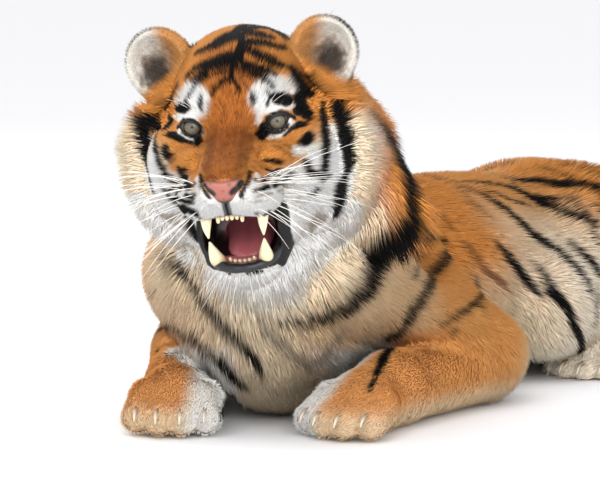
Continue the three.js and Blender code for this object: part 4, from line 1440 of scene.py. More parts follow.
@dataclass
class Grown:
    """One piece of the coat that waits for its colours."""

    made: Object
    shown: List[Array]
    normal: Array
    level: List[int]
    shade: Array

    def dress(self, markings: Markings) -> None:
        """Colours each tuft along its length, as the skin is marked below it, times a random tone for each
        tuft and painted shade that darkens it towards its root.
        """
        seed = len(self.normal)
        hues = np.stack([markings.colour(place, self.normal, 0.7, seed) for place in self.shown], axis=1)
        paint(self.made, np.clip((hues[:, self.level] * self.shade[..., None]).reshape(-1, 3), 0.001, 0.95))


@dataclass
class Coat:
    """The coat, as tufts of solid mesh that grow from the skin."""

    form: Form
    skin: Object

    def __post_init__(self) -> None:
        """Reads the skin once for all the pieces."""
        form, skin, self.pose, self.head = self.form, self.skin, self.form.pose, self.form.head
        self.bounds = BVHTree.FromObject(skin, bpy.context.evaluated_depsgraph_get())
        self.points, self.normals = points_of(skin), read(skin, "normal")
        self.depth = in_blocks(form.coat_depth, self.points)
        pairs = np.hstack([self.points, self.normals])
        self.way = in_blocks(lambda pair: form.lie(pair[:, :3], pair[:, 3:]), pairs)
        mesh = skin.data
        mesh.calc_loop_triangles()
        corners = np.empty(len(mesh.loop_triangles) * 3, dtype=np.int32)
        mesh.loop_triangles.foreach_get("vertices", corners)
        self.triangles = corners.reshape(-1, 3)
        middle = self.points[self.triangles].mean(axis=1)
        self.owner = self.owners(middle, form.pose.to_head(middle))
        self.middle = middle

    def owners(self, p: Array, local: Array) -> Array:
        """The name of the piece of coat that each place belongs to; empty where none grows."""
        shares = in_blocks(self.form.shares, p)
        names = np.array([part.name for part in self.form.body.parts], dtype=object)[shares.argmax(axis=1)]
        piece = np.array([PIECE_OF[name] for name in names], dtype=object)
        head = self.form.head_share(local) > 0.5
        ears = head & (self.head.ears(local) < 10) & (local[:, 2] > 40)
        face = head & (local[:, 1] < 30)
        piece[head] = "coat_cheeks"
        piece[head & (local[:, 2] > 20)] = "coat_crown"
        piece[face] = "coat_face"
        piece[ears] = "coat_ears"
        space = self.head.mouth(local)
        piece[head & (space < self.head.lip_margin(local))] = ""
        piece[head & (np.minimum(*[self.head.opening_gap(local, s) for s in (1, -1)]) < 3.0)] = ""
        nose = away_from(local, (0, -138, -70), (31, 24, 16))
        piece[head & (nose < 1)] = ""
        piece[p[:, 2] < 5] = ""
        return piece

    def grow(self, lock: Lock) -> Optional[Grown]:
        """Makes one piece of the coat.

        Args:
            lock: its tufts.

        Returns:
            The piece, or None where the skin has no room for it.
        """
        chosen = np.nonzero(self.owner == (lock.over or lock.name))[0]
        if not len(chosen):
            return None
        rng = np.random.default_rng(len(lock.name) + lock.count)
        tri = self.triangles[chosen]
        a, b, c = (self.points[tri[:, i]] for i in range(3))
        area = np.linalg.norm(np.cross(b - a, c - a), axis=1) / 2
        weight = area * self.thickness(lock, self.middle[chosen])
        total = np.cumsum(weight)
        even = (np.arange(lock.count) + rng.random(lock.count)) / lock.count
        pick = np.minimum(np.searchsorted(total, even * total[-1]), len(chosen) - 1)
        u, v = rng.random(lock.count), rng.random(lock.count)
        over = u + v > 1
        u[over], v[over] = 1 - u[over], 1 - v[over]
        share = np.stack([1 - u - v, u, v], axis=1)
        corners = tri[pick]
        blend = lambda values: (values * share[..., None]).sum(axis=1)
        root, normal, way = [blend(values[corners]) for values in (self.points, self.normals, self.way)]
        depth = (self.depth[corners] * share).sum(axis=1)
        root_uv = blend(self.unwrap(lock.name, chosen)[pick])
        return self.tufts(lock, rng, root, unit(normal), unit(way), depth, root_uv)

    def thickness(self, lock: Lock, p: Array) -> Array:
        """How closely the tufts stand: closer towards the nose, fewer where the body lies on the floor."""
        if lock.name in ("coat_face", "coat_crown"):
            return 1.0 + 1.6 * smooth(-self.pose.to_head(p)[:, 1], -10, 100)
        if lock.over:
            local = self.pose.to_head(p)
            out, up, ring = self.head.in_ear(np.sign(local[:, 0]), local)
            rim = smooth(-np.abs(ring - 1.05), -0.45, -0.15)
            return 0.001 + smooth(0.25 * up - out, -12, 10) * rim * smooth(-up, -16, 4)
        return 0.35 + 0.65 * smooth(p[:, 2], 8, 40)

    def unwrap(self, name: str, chosen: Array) -> Array:
        """The corners of each of the piece's triangles on a flat map of the skin's own shape."""
        patch = mesh_object(name + "_map", self.points, self.triangles[chosen])
        bpy.ops.object.select_all(action="DESELECT")
        patch.select_set(True)
        bpy.context.view_layer.objects.active = patch
        bpy.ops.object.mode_set(mode="EDIT")
        bpy.ops.mesh.select_all(action="SELECT")
        bpy.ops.uv.smart_project(angle_limit=math.radians(66), island_margin=0.004)
        bpy.ops.object.mode_set(mode="OBJECT")
        flat = np.empty(len(patch.data.loops) * 2, dtype=np.float32)
        patch.data.uv_layers.active.data.foreach_get("uv", flat)
        bpy.data.objects.remove(patch, do_unlink=True)
        return flat.reshape(-1, 3, 2)

    def tufts(
        self, lock: Lock, rng: np.random.Generator,
        root: Array, normal: Array, way: Array, depth: Array, root_uv: Array,
    ) -> Grown:
        """Tapered tufts at the roots, each a closed spike that leans along the coat.

        Args:
            lock: their sizes.
            rng: the source of chance.
            root: where they grow, on the skin.
            normal: the skin's normals there.
            way: the way the hair lies there.
            depth: the coat's depth there.
            root_uv: the roots' places on the flat map.

        Returns:
            The joined tufts, not yet coloured.
        """
        n = len(root)
        locks = [Noise(31 + i) for i in range(3)]
        drift = np.stack([noise.at(root, lock.lump) for noise in locks], axis=1)
        loose = unit(way + drift * lock.tangle * 1.6 + rng.normal(0, lock.tangle * 0.35, (n, 3)))
        way = unit(loose - (loose * normal).sum(axis=1, keepdims=True) * normal)
        length = np.maximum(depth / math.sin(lock.lift), lock.length * 0.35) * rng.uniform(0.75, 1.12, n)
        length = np.minimum(length, lock.length * 1.5)
        angle = np.arcsin(np.clip(depth / np.maximum(length, 1e-3), 0.08, 0.75)) * rng.uniform(0.75, 1.05, n)
        wide = lock.width * rng.uniform(0.7, 1.3, n) * np.minimum(1, 0.45 + length / lock.length)
        wide = wide[:, None]
        across = np.cross(normal, way) * wide / 2
        rise = normal * wide * 0.35
        base = root - normal * 0.8
        lean = lambda a: np.cos(a)[:, None] * way + np.sin(a)[:, None] * normal
        if lock.bends:
            middle = root + lean(angle * 1.35) * (length * 0.5)[:, None]
            tip = middle + (lean(angle * 0.6) + (0, 0, -0.12)) * (length * 0.5)[:, None]
            ring = [base - across, base + across, base + rise]
            ring += [middle - across * 0.75, middle + across * 0.75, middle + rise * 0.8, tip]
            faces = [(0, 2, 1), (0, 1, 4), (0, 4, 3), (1, 2, 5), (1, 5, 4), (2, 0, 3), (2, 3, 5)]
            faces += [(3, 4, 6), (4, 5, 6), (5, 3, 6)]
            # Painted shade: darker at the root and lighter towards the tip, as if the coat shaded itself.
            shade = [0.76, 0.76, 0.84, 1.0, 1.0, 1.04, 1.12]
        else:
            tip = root + lean(angle) * length[:, None]
            ring = [base - across, base + across, base + rise, tip]
            faces = [(0, 2, 1), (0, 1, 3), (1, 2, 3), (2, 0, 3)]
            # Painted shade: darker at the root and lighter towards the tip, as if the coat shaded itself.
            shade = [0.8, 0.8, 0.88, 1.12]
        tip[:, 2] = np.maximum(tip[:, 2], 0.6)
        wide_count = len(ring)
        points = np.stack(ring, axis=1).reshape(-1, 3)
        points[:, 2] = np.maximum(points[:, 2], 0.4)
        order = (np.arange(n)[:, None, None] * wide_count + np.array(faces)[None]).reshape(-1, 3)
        made = mesh_object(lock.name, points, order)
        light = rng.normal(1.0, 0.08, n)
        stops = (0.15, 0.5, 0.85) if lock.bends else (0.3, 0.8)
        level = [0, 0, 0, 1, 1, 1, 2] if lock.bends else [0, 0, 0, 1]
        shown = [dropped(self.bounds, root + lean(angle) * (length * stop)[:, None]) for stop in stops]
        layer = made.data.uv_layers.new(name="OFBake")
        corner = np.array([(0, 0), (6, 0), (3, 2), (0, 4), (6, 4), (3, 4), (3, 6)]) * 0.0005
        corner = corner if lock.bends else corner[[0, 1, 2, 6]]
        spots = (np.clip(root_uv, 0.0005, 0.9965)[:, None] + corner[None]).reshape(-1, 2)
        layer.data.foreach_set("uv", spots[order.ravel()].astype(np.float32).ravel())
        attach(made, "root")
        return Grown(made, shown, normal, level, light[:, None] * np.array(shade)[None])


PIECE_OF = {
    "chest": "coat_chest", "neck": "coat_neck", "belly": "coat_back", "rump": "coat_rump",
    "tail": "coat_tail", "thigh_L": "coat_rump", "thigh_R": "coat_rump",
    **{"upper_arm_" + side: "coat_arm_" + side for side in SIDES},
    **{part + side: "coat_foreleg_" + side for part in ("forearm_", "forepaw_") for side in SIDES},
    **{part + side: "coat_hindlegs" for part in ("shank_", "hindpaw_") for side in SIDES},
}
LOCKS = (
    Lock("coat_face", 43500, 1.7, 15, tangle=0.14, lump=9),
    Lock("coat_crown", 17000, 2.1, 22, tangle=0.16, lump=12),
    Lock("coat_cheeks", 19500, 2.2, 44, bends=True, tangle=0.24, lump=18),
    Lock("coat_ears", 10000, 1.6, 20, lift=0.45, tangle=0.26, lump=10),
    Lock("ear_wisps", 700, 1.1, 76, lift=0.45, bends=True, tangle=0.2, lump=12, over="coat_ears"),
    Lock("coat_neck", 19000, 2.6, 60, bends=True, tangle=0.19, lump=24),
    Lock("coat_chest", 19000, 3.2, 62, bends=True, tangle=0.28, lump=26),
    Lock("coat_back", 32000, 3.0, 40, tangle=0.2, lump=20),
    Lock("coat_rump", 22000, 3.4, 40, tangle=0.2, lump=20),
    Lock("coat_arm_L", 22000, 2.7, 34, tangle=0.2, lump=18),
    Lock("coat_arm_R", 15000, 2.7, 34, tangle=0.2, lump=18),
    Lock("coat_foreleg_L", 19000, 2.3, 30, tangle=0.18, lump=14),
    Lock("coat_foreleg_R", 20000, 2.3, 30, tangle=0.18, lump=14),
    Lock("coat_hindlegs", 13000, 2.7, 25, tangle=0.18, lump=14),
    Lock("coat_tail", 15000, 2.7, 30, tangle=0.16, lump=14),
)


# ---------- eyes, nose, mouth and claws ----------
def tube(line: Array, radii: Array, sides: int) -> Tuple[Array, Faces]:
    """A closed tube along a line.

    Args:
        line: the points of its middle.
        radii: its radius at each.
        sides: how many corners its section has.

    Returns:
        Its vertices and its triangles.
    """
    run = unit(np.gradient(line, axis=0))
    side = unit(np.cross(run, (0.31, 0.17, 0.94)))
    up = np.cross(side, run)
    turn = np.arange(sides) / sides * 2 * math.pi
    ring = np.cos(turn)[:, None] * side[:, None] + np.sin(turn)[:, None] * up[:, None]
    points = (line[:, None] + ring * radii[:, None, None]).reshape(-1, 3)
    points = np.vstack([points, line[0], line[-1]])
    n, faces = len(line), []
    for i in range(n - 1):
        for j in range(sides):
            a, b = i * sides + j, i * sides + (j + 1) % sides
            faces += [(a, b, b + sides), (a, b + sides, a + sides)]
    for j in range(sides):
        k = (j + 1) % sides
        faces += [(n * sides, k, j), (n * sides + 1, (n - 1) * sides + j, (n - 1) * sides + k)]
    return points, faces


def along(rings: int, sides: int) -> Array:
    """How far along a tube each of its vertices is, 0 to 1."""
    return np.concatenate([np.repeat(np.linspace(0, 1, rings), sides), [0, 1]])


def gathered(pieces: Sequence[Tuple[Array, Faces]]) -> Tuple[Array, Array]:
    """Several meshes of triangles as one."""
    points, faces, start = [], [], 0
    for verts, own in pieces:
        points.append(verts)
        faces.append(np.asarray(own) + start)
        start += len(verts)
    return np.concatenate(points), np.concatenate(faces)


def finished(made: Object, hue: Array, material: Material, slot: str, *nodes: str) -> None:
    """Turns a bare piece's faces outwards, colours it and ties it to the library's frame.

    Args:
        made: the piece.
        hue: its colour, or one for each vertex.
        material: its finish.
        slot: what it is; not used.
        nodes: the solids that it stands for.
    """
    work = bmesh.new()
    work.from_mesh(made.data)
    bmesh.ops.recalc_face_normals(work, faces=list(work.faces))
    work.to_mesh(made.data)
    work.free()
    paint(made, hue)
    made.data.materials.append(material)
    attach(made, "root")
    if nodes:
        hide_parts(*nodes)
    LOG.info("%s made", made.name)


@dataclass
class Face:
    """The bare parts of the head: eyes, lids, nose, teeth, tongue, lips and whiskers."""

    form: Form
    side_room: float = 320.0
    front_room: float = -700.0

    def __post_init__(self) -> None:
        """Names the pose and the head."""
        self.pose, self.head = self.form.pose, self.form.head

    def piece(
        self, name: str, points: Array, faces: Faces, hue: Array, material: Material, slot: str, *nodes: str
    ) -> None:
        """A bare piece, from points in the head's frame."""
        finished(mesh_object(name, self.pose.from_head(points), faces), hue, material, slot, *nodes)

    def eyeball(self, side: str, material: Material) -> None:
        """One eyeball, with its cornea, iris and small pupil, and painted shade across its top under the lid.
        """
        radius, look = self.head.eye_radius, self.head.look()
        middle = self.head.eye(SIDES[side])
        across = unit(np.cross(look, (0, 0, 1)))
        up = np.cross(across, look)
        angle = np.linspace(0, math.pi, 61)[1:-1]
        bulge = radius + 1.0 * smooth(-angle, -0.72, -0.3)
        points, faces = tube(middle + look * (np.cos(angle) * bulge)[:, None], np.sin(angle) * bulge, 72)
        points[-2:] = middle + look * (radius + 1.0), middle - look * radius
        way = unit(points - middle)
        every, around = np.arccos(np.clip(way @ look, -1, 1)), np.arctan2(way @ up, way @ across)
        fibre = 0.5 + 0.22 * np.sin(around * 23 + 3 * np.sin(around * 7))
        fibre = fibre + 0.18 * np.sin(around * 41 + 1.3) + 0.1 * np.sin(around * 3)
        iris = mix(linear((84, 80, 68)), linear((126, 119, 105)), np.clip(fibre, 0, 1))
        iris = mix(iris, linear((86, 78, 52)), smooth(every, 0.36, 0.6) * 0.75)
        hue = mix(linear((10, 9, 8)), iris, smooth(every, 0.09, 0.125))
        hue = mix(hue, linear((16, 12, 9)), smooth(every, 0.6, 0.66))
        # Painted shade: the top of the eye darkened as if shaded by the upper lid.
        hue = hue * (1 - 0.6 * smooth(np.sin(every) * np.sin(around), 0.05, 0.42))[:, None]
        hue = mix(hue, linear((96, 80, 66)), smooth(every, 0.72, 0.8))
        self.piece("eyeball_" + side, points, faces, hue, material, "eye", "eye_" + side)

    def lids(self, side: str, material: Material) -> None:
        """The dark lids round one eye."""
        s, radius = SIDES[side], self.head.eye_radius
        middle, axes = self.head.eye(s), self.head.eye_axes(s)

        def shape(p: Array) -> Array:
            """The distance to the lids."""
            away, ahead = away_from(p, middle), (p - middle) @ axes[2]
            gap = self.head.opening_gap(p, s)
            thick = 2.4 - 0.6 * smooth(gap, 2, 12)
            shell = soft_max(away - (radius + thick), (radius - 0.6) - away, 1.2)
            shell = soft_max(shell, -gap, 1.6)
            above = smooth((p - middle) @ axes[1], -3, 7)
            return soft_max(soft_max(shell, 2 - ahead, 3), gap - (2.4 + 3.0 * above), 2)

        points, faces = surface_of(shape, middle - 25, middle + 25, 1.0)
        hue = mix(linear((12, 9, 8)), linear((20, 15, 12)), smooth(self.head.opening_gap(points, s), 2, 9))
        self.piece("lids_" + side, points, faces, hue, material, "nose")

    def nose(self, material: Material) -> None:
        """The nose leather with its nostrils."""
        pad = melt([
            (ball((0, -136, -61), (31, 16, 13)), 4),
            (ball((0, -136, -72), (16, 15, 17)), 12),
        ])
        nostrils = melt([m for s in SIDES.values() for m in (
            (ball((s * 20, -152, -69), (8.5, 9, 4.2), (0, s * -0.5, 0)), 3),
            (ball((s * 28, -143, -63), (5, 10, 6.5), (0, s * 0.2, 0)), 4),
        )])

        def shape(p: Array) -> Array:
            """The distance to the leather."""
            top = p[:, 2] - (-57 + 0.16 * np.abs(p[:, 0]))
            groove = np.hypot(p[:, 0], (p[:, 1] + 153) * 0.8) - 1.2
            body = soft_max(soft_max(pad(p), top, 5), -nostrils(p), 3)
            return soft_max(body, -np.where(p[:, 2] < -66, groove, 9.0), 2)

        p, faces = surface_of(shape, (-38, -160, -96), (38, -114, -40), 1.0)
        # The nostrils are painted near black: painted shade in their depth. The lower edge is dark leather.
        dark = smooth(-nostrils(p), -4.5, -0.5)
        dark = np.maximum(dark, smooth(-p[:, 2], 78, 88))
        freckle = smooth(Noise(77).at(p, 3.2), 0.42, 0.6) * 0.55
        hue = mix(linear((170, 104, 90)), linear((142, 82, 72)), smooth(np.abs(p[:, 0]), 12, 30) * 0.6)
        hue = mix(hue, linear((84, 58, 52)), freckle)
        hue = mix(hue, linear((58, 44, 40)), smooth(p[:, 2], -58, -53) * 0.8)
        hue = mix(hue, linear((16, 11, 10)), dark)
        self.piece("nose_leather", p, faces, hue, material, "nose", "nose")

    def tongue(self, material: Material) -> None:
        """The tongue: a broad, rough slab with a groove, thinning to its tip."""
        slab = melt([
            (ball((6, -4, -116), (42, 62, 20), (0.16, 0, 0)), 4),
            (ball((6, -62, -119), (31, 32, 12)), 16),
        ])

        def shape(p: Array) -> Array:
            """The distance to the tongue."""
            q = self.pose.to_jaw(p)
            groove = 3.0 * np.exp(-((q[:, 0] - 6) / 7) ** 2) * smooth(q[:, 2], -122, -108)
            return slab(q) + groove

        points, faces = surface_of(shape, (-52, -110, -200), (62, 70, -80), 1.8)
        q = self.pose.to_jaw(points)
        hue = mix(linear((124, 62, 70)), linear((176, 92, 96)), smooth(-q[:, 1], 40, 80) * 0.7)
        # Painted shade: darker towards the back, where the tongue lies in the mouth's shade.
        hue = mix(hue, linear((92, 40, 50)), smooth(q[:, 1], -30, 30))
        self.piece("tongue_flesh", points, faces, hue, material, "tongue", "tongue")

    def canines(self, material: Material) -> None:
        """The four canines. A knot is its place outwards, back and up, and its radius."""
        upper = [(40, -92, -92, 9), (42, -104, -112, 9), (42, -110, -130, 6.2), (41, -108, -146, 1.3)]
        lower = [(35, -82, -134, 11.5), (37, -96, -114, 11), (39, -101, -95, 7.2), (41, -99, -79, 1.4)]
        enamel, name = linear((240, 226, 186)), "%s_%s_%s"
        for side, s in SIDES.items():
            for row, shift, knots in (("upper", (5, 5, 5, 5), upper), ("lower", (-1, -1, -1, -2), lower)):
                line = np.array(knots, dtype=float) * (s, 1, 1, 1)
                line[:, 0] += shift
                line = smooth_line(line, 10)
                points, faces = tube(line[:, :3], line[:, 3], 28)
                if row == "lower":
                    points = self.pose.from_jaw(points)
                hue = mix(linear((196, 160, 96)), enamel, smooth(along(len(line), 28), 0.1, 0.55))
                fang, canine = name % (row, "fang", side), name % (row, "canine", side)
                self.piece(fang, points, faces, hue, material, "tooth", canine)

    def incisors(self, teeth: Material, flesh: Material) -> None:
        """The rows of small front teeth, each in its gum."""
        enamel = linear((232, 214, 170))
        rows = (
            ("upper", -118, -107, -13, 1.0, linear((70, 40, 42))),
            ("lower", -102, -120, 7, 0.8, linear((150, 84, 92))),
        )
        for row, front, gum, drop, size, bed in rows:
            crowns = []
            for n in (-2.5, -1.5, -0.5, 0.5, 1.5, 2.5):
                x, big = n * 7.2, 1.25 if abs(n) > 2 else 0.9
                y = front + 0.012 * x * x
                line = np.array([
                    (x, y + 4, gum, 3.2 * size),
                    (x, y + 1, gum + drop * 0.5, 3.5 * size),
                    (x, y, gum + drop * big * 0.85, 2.7 * size),
                    (x, y + 0.6, gum + drop * big, 0.9 * size),
                ])
                fine = smooth_line(line, 4)
                crowns.append(tube(fine[:, :3], fine[:, 3], 14))
            points, faces = gathered(crowns)
            x = np.linspace(-30, 30, 25)
            depth = np.full(25, gum - math.copysign(1.5, drop))
            ends = 6.5 * np.clip(np.sin(np.linspace(0.3, math.pi - 0.3, 25)) * 1.6, 0, 1)
            gum_points, gum_faces = tube(np.stack([x, front + 7 + 0.012 * x * x, depth], axis=1), ends, 16)
            if row == "lower":
                points, gum_points = self.pose.from_jaw(points), self.pose.from_jaw(gum_points)
            self.piece(row + "_teeth", points, faces, enamel, teeth, "tooth", row + "_incisors")
            self.piece(row + "_gum", gum_points, gum_faces, bed, flesh, "tongue")

    def lips(self, material: Material) -> None:
        """The black lower lip, lifted to a bluish grey as a painted sheen, rolled round the front of the jaw,
        and the cheek lining at its corners.
        """
        knots = np.array([
            (-58, 20, -104, 4), (-57, -30, -114, 6), (-51, -66, -118, 6.5), (-41, -95, -120.5, 7),
            (-22, -110, -120.5, 7), (0, -114, -120.5, 7), (22, -110, -120.5, 7), (43, -95, -120.5, 7),
            (54, -66, -118, 7), (60, -30, -112, 7), (60, 20, -100, 4),
        ], dtype=float)
        line = smooth_line(knots, 8)
        ripple = line[:, 3] * (1 + 0.06 * np.sin(np.arange(len(line)) * 0.9))
        points, faces = tube(line[:, :3], ripple, 18)
        # The lip's colour is black lifted to bluish grey: a painted sheen.
        self.piece("lower_lip", self.pose.from_jaw(points), faces, linear((30, 29, 33)), material, "nose")

    def whiskers(self, skin: Object, material: Material) -> None:
        """Long stiff hairs on the whisker pads, over the eyes and on the chin, within the solids' box."""
        bounds = BVHTree.FromObject(skin, bpy.context.evaluated_depsgraph_get())
        rng, made = np.random.default_rng(8), []
        for s in SIDES.values():
            for row in range(5):
                for col in range(5):
                    start = self.head.whisker_root(s, row, col)
                    fan = 0.5 - 0.3 * row + rng.normal(0, 0.13)
                    way = (s * (0.95 + 0.06 * col), -0.4 + 0.17 * col + rng.normal(0, 0.1), fan)
                    made.append((start, way, rng.uniform(70, 180) * (0.6 if col == 0 else 1.0), 0.5, -0.2))
            for k in range(3):
                start, way = (s * (52 + 8 * k), -26, 34 + 3 * k), (s * (0.4 + 0.25 * k), -0.4, 0.75)
                made.append((start, way, rng.uniform(35, 70), 0.3, -0.2))
            for k in range(6):
                start, way = (s * (8 + 7 * k), -108, -196 + 3 * k), (s * (0.15 + 0.13 * k), -0.45, -0.8)
                made.append((start, way, rng.uniform(35, 70), 0.4, -0.05))
        pieces = []
        for start, way, long, thick, sag in made:
            root = dropped(bounds, self.pose.from_head(start)[None])[0]
            ahead = unit(np.array(way)) @ self.pose.head_turn().T
            t = np.linspace(0, 1, 12)[:, None]
            bow = np.array([0, 0, 1.0]) * sag + unit(np.cross(ahead, rng.normal(0, 1, 3))) * 0.06
            line = root + ahead * t * long + bow * t**2 * long
            line[:, 2] = np.maximum(line[:, 2], 3)
            past = np.maximum(line[:, 0] - self.side_room, 0)
            line[:, 0] -= past - 30 * (1 - np.exp(-past / 30))
            line[:, 1] += 0.8 * past
            past = np.maximum(self.front_room - line[:, 1], 0)
            line[:, 1] += past - 10 * (1 - np.exp(-past / 10))
            pieces.append(tube(line, thick * (1 - 0.8 * t[:, 0]) + 0.08, 5))
        points, faces = gathered(pieces)
        finished(mesh_object("whiskers", points, faces), linear((244, 240, 232)), material, "coat")


@dataclass
class Claws:
    """The claws, mostly drawn into the toes. A knot is its place past the toe and up, and its radius."""

    body: Body
    knots: Tuple[Point, ...] = ((6, -17, 4.4), (-12, -15.5, 4.4), (-26, -20, 3.1), (-35, -32, 0.7))

    def build(self, material: Material) -> None:
        """Makes the claws of each paw."""
        for paw, (wrist, yaw, size) in self.body.paws.items():
            kind, side = paw.split("_")
            pieces, shares = [], []
            for x, reach in zip(self.body.toes, self.body.toe_reach):
                knots = [
                    [*self.body.at_paw(wrist, yaw, (x * 1.08 * size, (reach + y) * size, z)), radius]
                    for y, z, radius in self.knots
                ]
                line = smooth_line(np.array(knots), 7)
                pieces.append(tube(line[:, :3], line[:, 3] * size, 16))
                shares.append(along(len(line), 16))
            points, faces = gathered(pieces)
            tip = smooth(np.concatenate(shares), 0.4, 0.9)
            hue = mix(linear((120, 96, 78)), linear((214, 200, 180)), tip)
            nodes = ["claw_%s_%s_%d" % (kind, side, i + 1) for i in range(4)]
            finished(mesh_object("claws_" + paw, points, faces), hue, material, "claw", *nodes)


# ---------- finishes ----------
def operator(operation: str, reflected: bool = False) -> Callable[["Sock", object], "Sock"]:
    """An operator of Sock that adds a Math node."""

    def apply(self: "Sock", other: object) -> "Sock":
        """The operator itself."""
        return self.math(operation, *((other, self) if reflected else (self, other)))

    return apply


class Sock:
    """A socket whose operators add Math nodes."""

    __add__, __radd__ = operator("ADD"), operator("ADD", True)
    __sub__, __rsub__ = operator("SUBTRACT"), operator("SUBTRACT", True)
    __mul__, __rmul__ = operator("MULTIPLY"), operator("MULTIPLY", True)

    def __init__(self, tree: bpy.types.NodeTree, socket: object) -> None:
        """Wraps a socket."""
        self.tree, self.socket = tree, socket

    def math(self, operation: str, *values: object) -> "Sock":
        """A Math node on this tree."""
        node = self.tree.nodes.new("ShaderNodeMath")
        node.operation = operation
        for slot, value in zip(node.inputs, values):
            self.put(slot, value)
        return Sock(self.tree, node.outputs[0])

    def put(self, slot: object, value: object) -> None:
        """Links a socket to another, or sets it."""
        if isinstance(value, Sock):
            self.tree.links.new(value.socket, slot)
        else:
            slot.default_value = value


class Nodes:
    """A new material and its nodes."""

    def __init__(self, name: str) -> None:
        """Makes the material, with a shader on it."""
        self.material = bpy.data.materials.new(name)
        self.material.use_nodes = True
        self.tree = self.material.node_tree
        self.shader = next(n for n in self.tree.nodes if n.type == "BSDF_PRINCIPLED")

    def node(self, kind: str, out: object = 0, name: str = "", **inputs: object) -> Sock:
        """Any node.

        Args:
            kind: its type.
            out: the output that is returned.
            name: the attribute that it reads, if it reads one.
            inputs: a value or a Sock for each named input.

        Returns:
            That output.
        """
        made = self.tree.nodes.new(kind)
        if name:
            made.attribute_name = name
        sock = Sock(self.tree, made.outputs[out])
        for key, value in inputs.items():
            sock.put(made.inputs[key], value)
        return sock

    def shade(self, **values: object) -> None:
        """Sets the shader's inputs, with underscores for spaces in their names."""
        for key, value in values.items():
            Sock(self.tree, None).put(self.shader.inputs[key.replace("_", " ")], value)

    def painted(self) -> Sock:
        """The colour painted on the mesh."""
        return self.node("ShaderNodeAttribute", "Color", "hue")

    def bump(self, height: Sock, strength: float, depth: float) -> None:
        """Roughens the surface by a height."""
        bump = self.node("ShaderNodeBump", "Normal", Strength=strength, Distance=depth, Height=height)
        self.shade(Normal=bump)


@dataclass(frozen=True)
class Hide:
    """The skin under the coat, with fine hair on it, bare and wet inside the mouth."""

    roughness: float = 0.75
    gloss_when_wet: float = 0.45
    grain: float = 0.3

    def material(self) -> Material:
        """The finish for the skin."""
        nodes = Nodes("hide")
        wet = nodes.node("ShaderNodeAttribute", "Fac", "wet")
        place = nodes.node("ShaderNodeTexCoord", "Object")
        nodes.shade(Base_Color=nodes.painted(), Roughness=self.roughness - self.gloss_when_wet * wet)
        height = nodes.node("ShaderNodeTexNoise", Vector=place, Scale=420.0, Detail=3.0)
        nodes.bump(height, self.grain, 0.0015)
        return nodes.material


@dataclass(frozen=True)
class Painted:
    """A smooth finish that takes its colour from the mesh: hair, wet flesh, tooth, claw or eye."""

    name: str
    roughness: float
    coat: float = 0.0
    gloss: float = 0.5
    grain: float = 0.0
    grain_size: float = 600.0

    def material(self) -> Material:
        """The finish, with a fine grain where it has one."""
        nodes = Nodes(self.name)
        nodes.shade(Base_Color=nodes.painted(), Roughness=self.roughness)
        nodes.shade(Coat_Weight=self.coat, Specular_IOR_Level=self.gloss)
        if self.grain:
            place = nodes.node("ShaderNodeTexCoord", "Object")
            cells = nodes.node("ShaderNodeTexVoronoi", "Distance", Vector=place, Scale=self.grain_size)
            nodes.bump(cells, self.grain, 0.0008)
        return nodes.material


# ---------- the studio ----------
@dataclass(frozen=True)
class Studio:
    """The camera, the lights and the floor."""

    view: View = View()
    lens: float = 227.03
    shift: Tuple[float, float] = (0.109, -0.20667)
    sky: float = 1.12
    aim: Point = (0.1, -0.3, 0.3)
    floor_half: float = 60.0

    def build(self) -> None:
        """Sets up the world, the lights, the floor and the camera."""
        scene = bpy.context.scene
        scene.view_settings.view_transform = "Standard"
        scene.world = bpy.data.worlds.new("soft_day")
        scene.world.use_nodes = True
        sky = scene.world.node_tree.nodes["Background"].inputs
        sky["Color"].default_value = (0.99, 0.99, 1.0, 1)
        sky["Strength"].default_value = self.sky
        self.lamp("sky", (0.4, -2.4, 4.2), 3.2, 70.0)
        self.lamp("front", (3.4, -4.2, 1.9), 3.2, 120.0)
        self.lamp("rim", (-3.4, 0.8, 2.6), 2.2, 45.0)
        corners = np.array([[-1, -1, 0], [1, -1, 0], [1, 1, 0], [-1, 1, 0]]) * self.floor_half
        floor = mesh_object("floor", from_row(corners), [(0, 1, 2, 3)], False)
        paint_coat = Nodes("floor_paint")
        paint_coat.shade(Base_Color=(0.82, 0.82, 0.83, 1), Roughness=0.9)
        floor.data.materials.append(paint_coat.material)
        self.camera()

    def lamp(self, name: str, place: Point, size: float, power: float) -> None:
        """A soft lamp that points at the animal."""
        data = bpy.data.lights.new(name, "AREA")
        data.size, data.energy = size, power
        made = bpy.data.objects.new(name, data)
        made.location = place
        made.rotation_euler = (Vector(self.aim) - Vector(place)).to_track_quat("-Z", "Y").to_euler()
        bpy.context.scene.collection.objects.link(made)

    def camera(self) -> None:
        """The camera, level with the animal's brow."""
        data = bpy.data.cameras.new("camera")
        data.sensor_width, data.lens = 36.0, self.lens
        data.shift_x, data.shift_y = self.shift
        data.clip_end = 200.0
        made = bpy.data.objects.new("camera", data)
        made.location = self.view.eye()
        made.rotation_euler = self.view.back().to_track_quat("Z", "Y").to_euler()
        bpy.context.scene.collection.objects.link(made)
        bpy.context.scene.camera = made


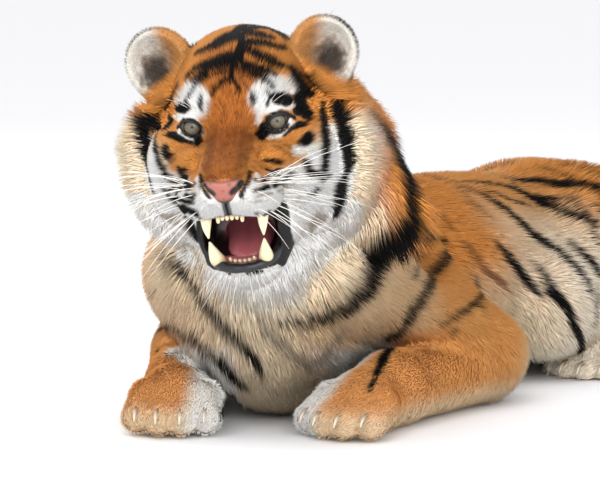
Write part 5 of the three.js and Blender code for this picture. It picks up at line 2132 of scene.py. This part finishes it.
LEG_PARTS = ("upper_arm_", "forearm_", "forepaw_", "thigh_", "shank_", "hindpaw_")
SKIN_NODES = (
    "chest", "belly", "rump", "neck", *[part + side for part in LEG_PARTS for side in SIDES],
    "tail_root", "tail_middle", "tail_tip", "head", "lower_jaw", "ear_L", "ear_R",
)


def bare(form: Form, body: Body, skin: Object) -> None:
    """Builds the parts that no hair covers."""
    face = Face(form)
    teeth = Painted("tooth_gloss", 0.28, coat=0.3).material()
    flesh = Painted("wet_flesh", 0.3, coat=0.4, grain=0.5, grain_size=420.0).material()
    eye = Painted("eye_gloss", 0.16, coat=0.12, gloss=0.2).material()
    lid = Painted("lid", 0.6).material()
    for side in SIDES:
        face.eyeball(side, eye)
        face.lids(side, lid)
    face.nose(Painted("nose_leather", 0.5, grain=0.35).material())
    face.tongue(flesh)
    face.canines(teeth)
    face.incisors(teeth, flesh)
    face.lips(Painted("wet_lip", 0.42, coat=0.08, grain=0.25, grain_size=300.0).material())
    face.whiskers(skin, Painted("whisker", 0.4).material())
    Claws(body).build(Painted("claw_horn", 0.35, coat=0.2).material())


def main() -> None:
    """Builds the animal and its studio."""
    logging.basicConfig(level=logging.INFO, format="%(asctime)s %(message)s")
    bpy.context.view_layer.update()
    pose = Pose()
    body, head = Body(pose), Head(pose)
    body.build()
    head.build()
    form = Form(pose, body, head)
    skin = Skin(form).build()
    LOG.info("skin made")
    coat = Coat(form, skin)
    grown = [piece for piece in map(coat.grow, LOCKS) if piece]
    LOG.info("coat grown")
    markings = Markings(form, skin, [piece.made for piece in grown])
    places, normals = points_of(skin), read(skin, "normal")
    # The skin is given the coat's colours darkened: painted shade for skin seen deep between the tufts.
    paint(skin, markings.colour(places, normals) * 0.8)
    inside = smooth(-form.head.mouth(form.pose.to_head(places)), -6, -2)
    paint(skin, np.repeat(inside[:, None], 3, axis=1), "wet")
    skin.data.materials.append(Hide().material())
    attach(skin, "root")
    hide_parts(*SKIN_NODES)
    LOG.info("skin coloured")
    bare(form, body, skin)
    hair, total = Painted("hair", 0.62, gloss=0.12).material(), 0
    for piece in grown:
        piece.dress(markings)
        piece.made.data.materials.append(hair)
        total += len(piece.made.data.polygons)
        LOG.info("%s: %d triangles", piece.made.name, len(piece.made.data.polygons))
    LOG.info("coat: %d triangles in all", total)
    Studio().build()


if __name__ == "__main__":
    main()
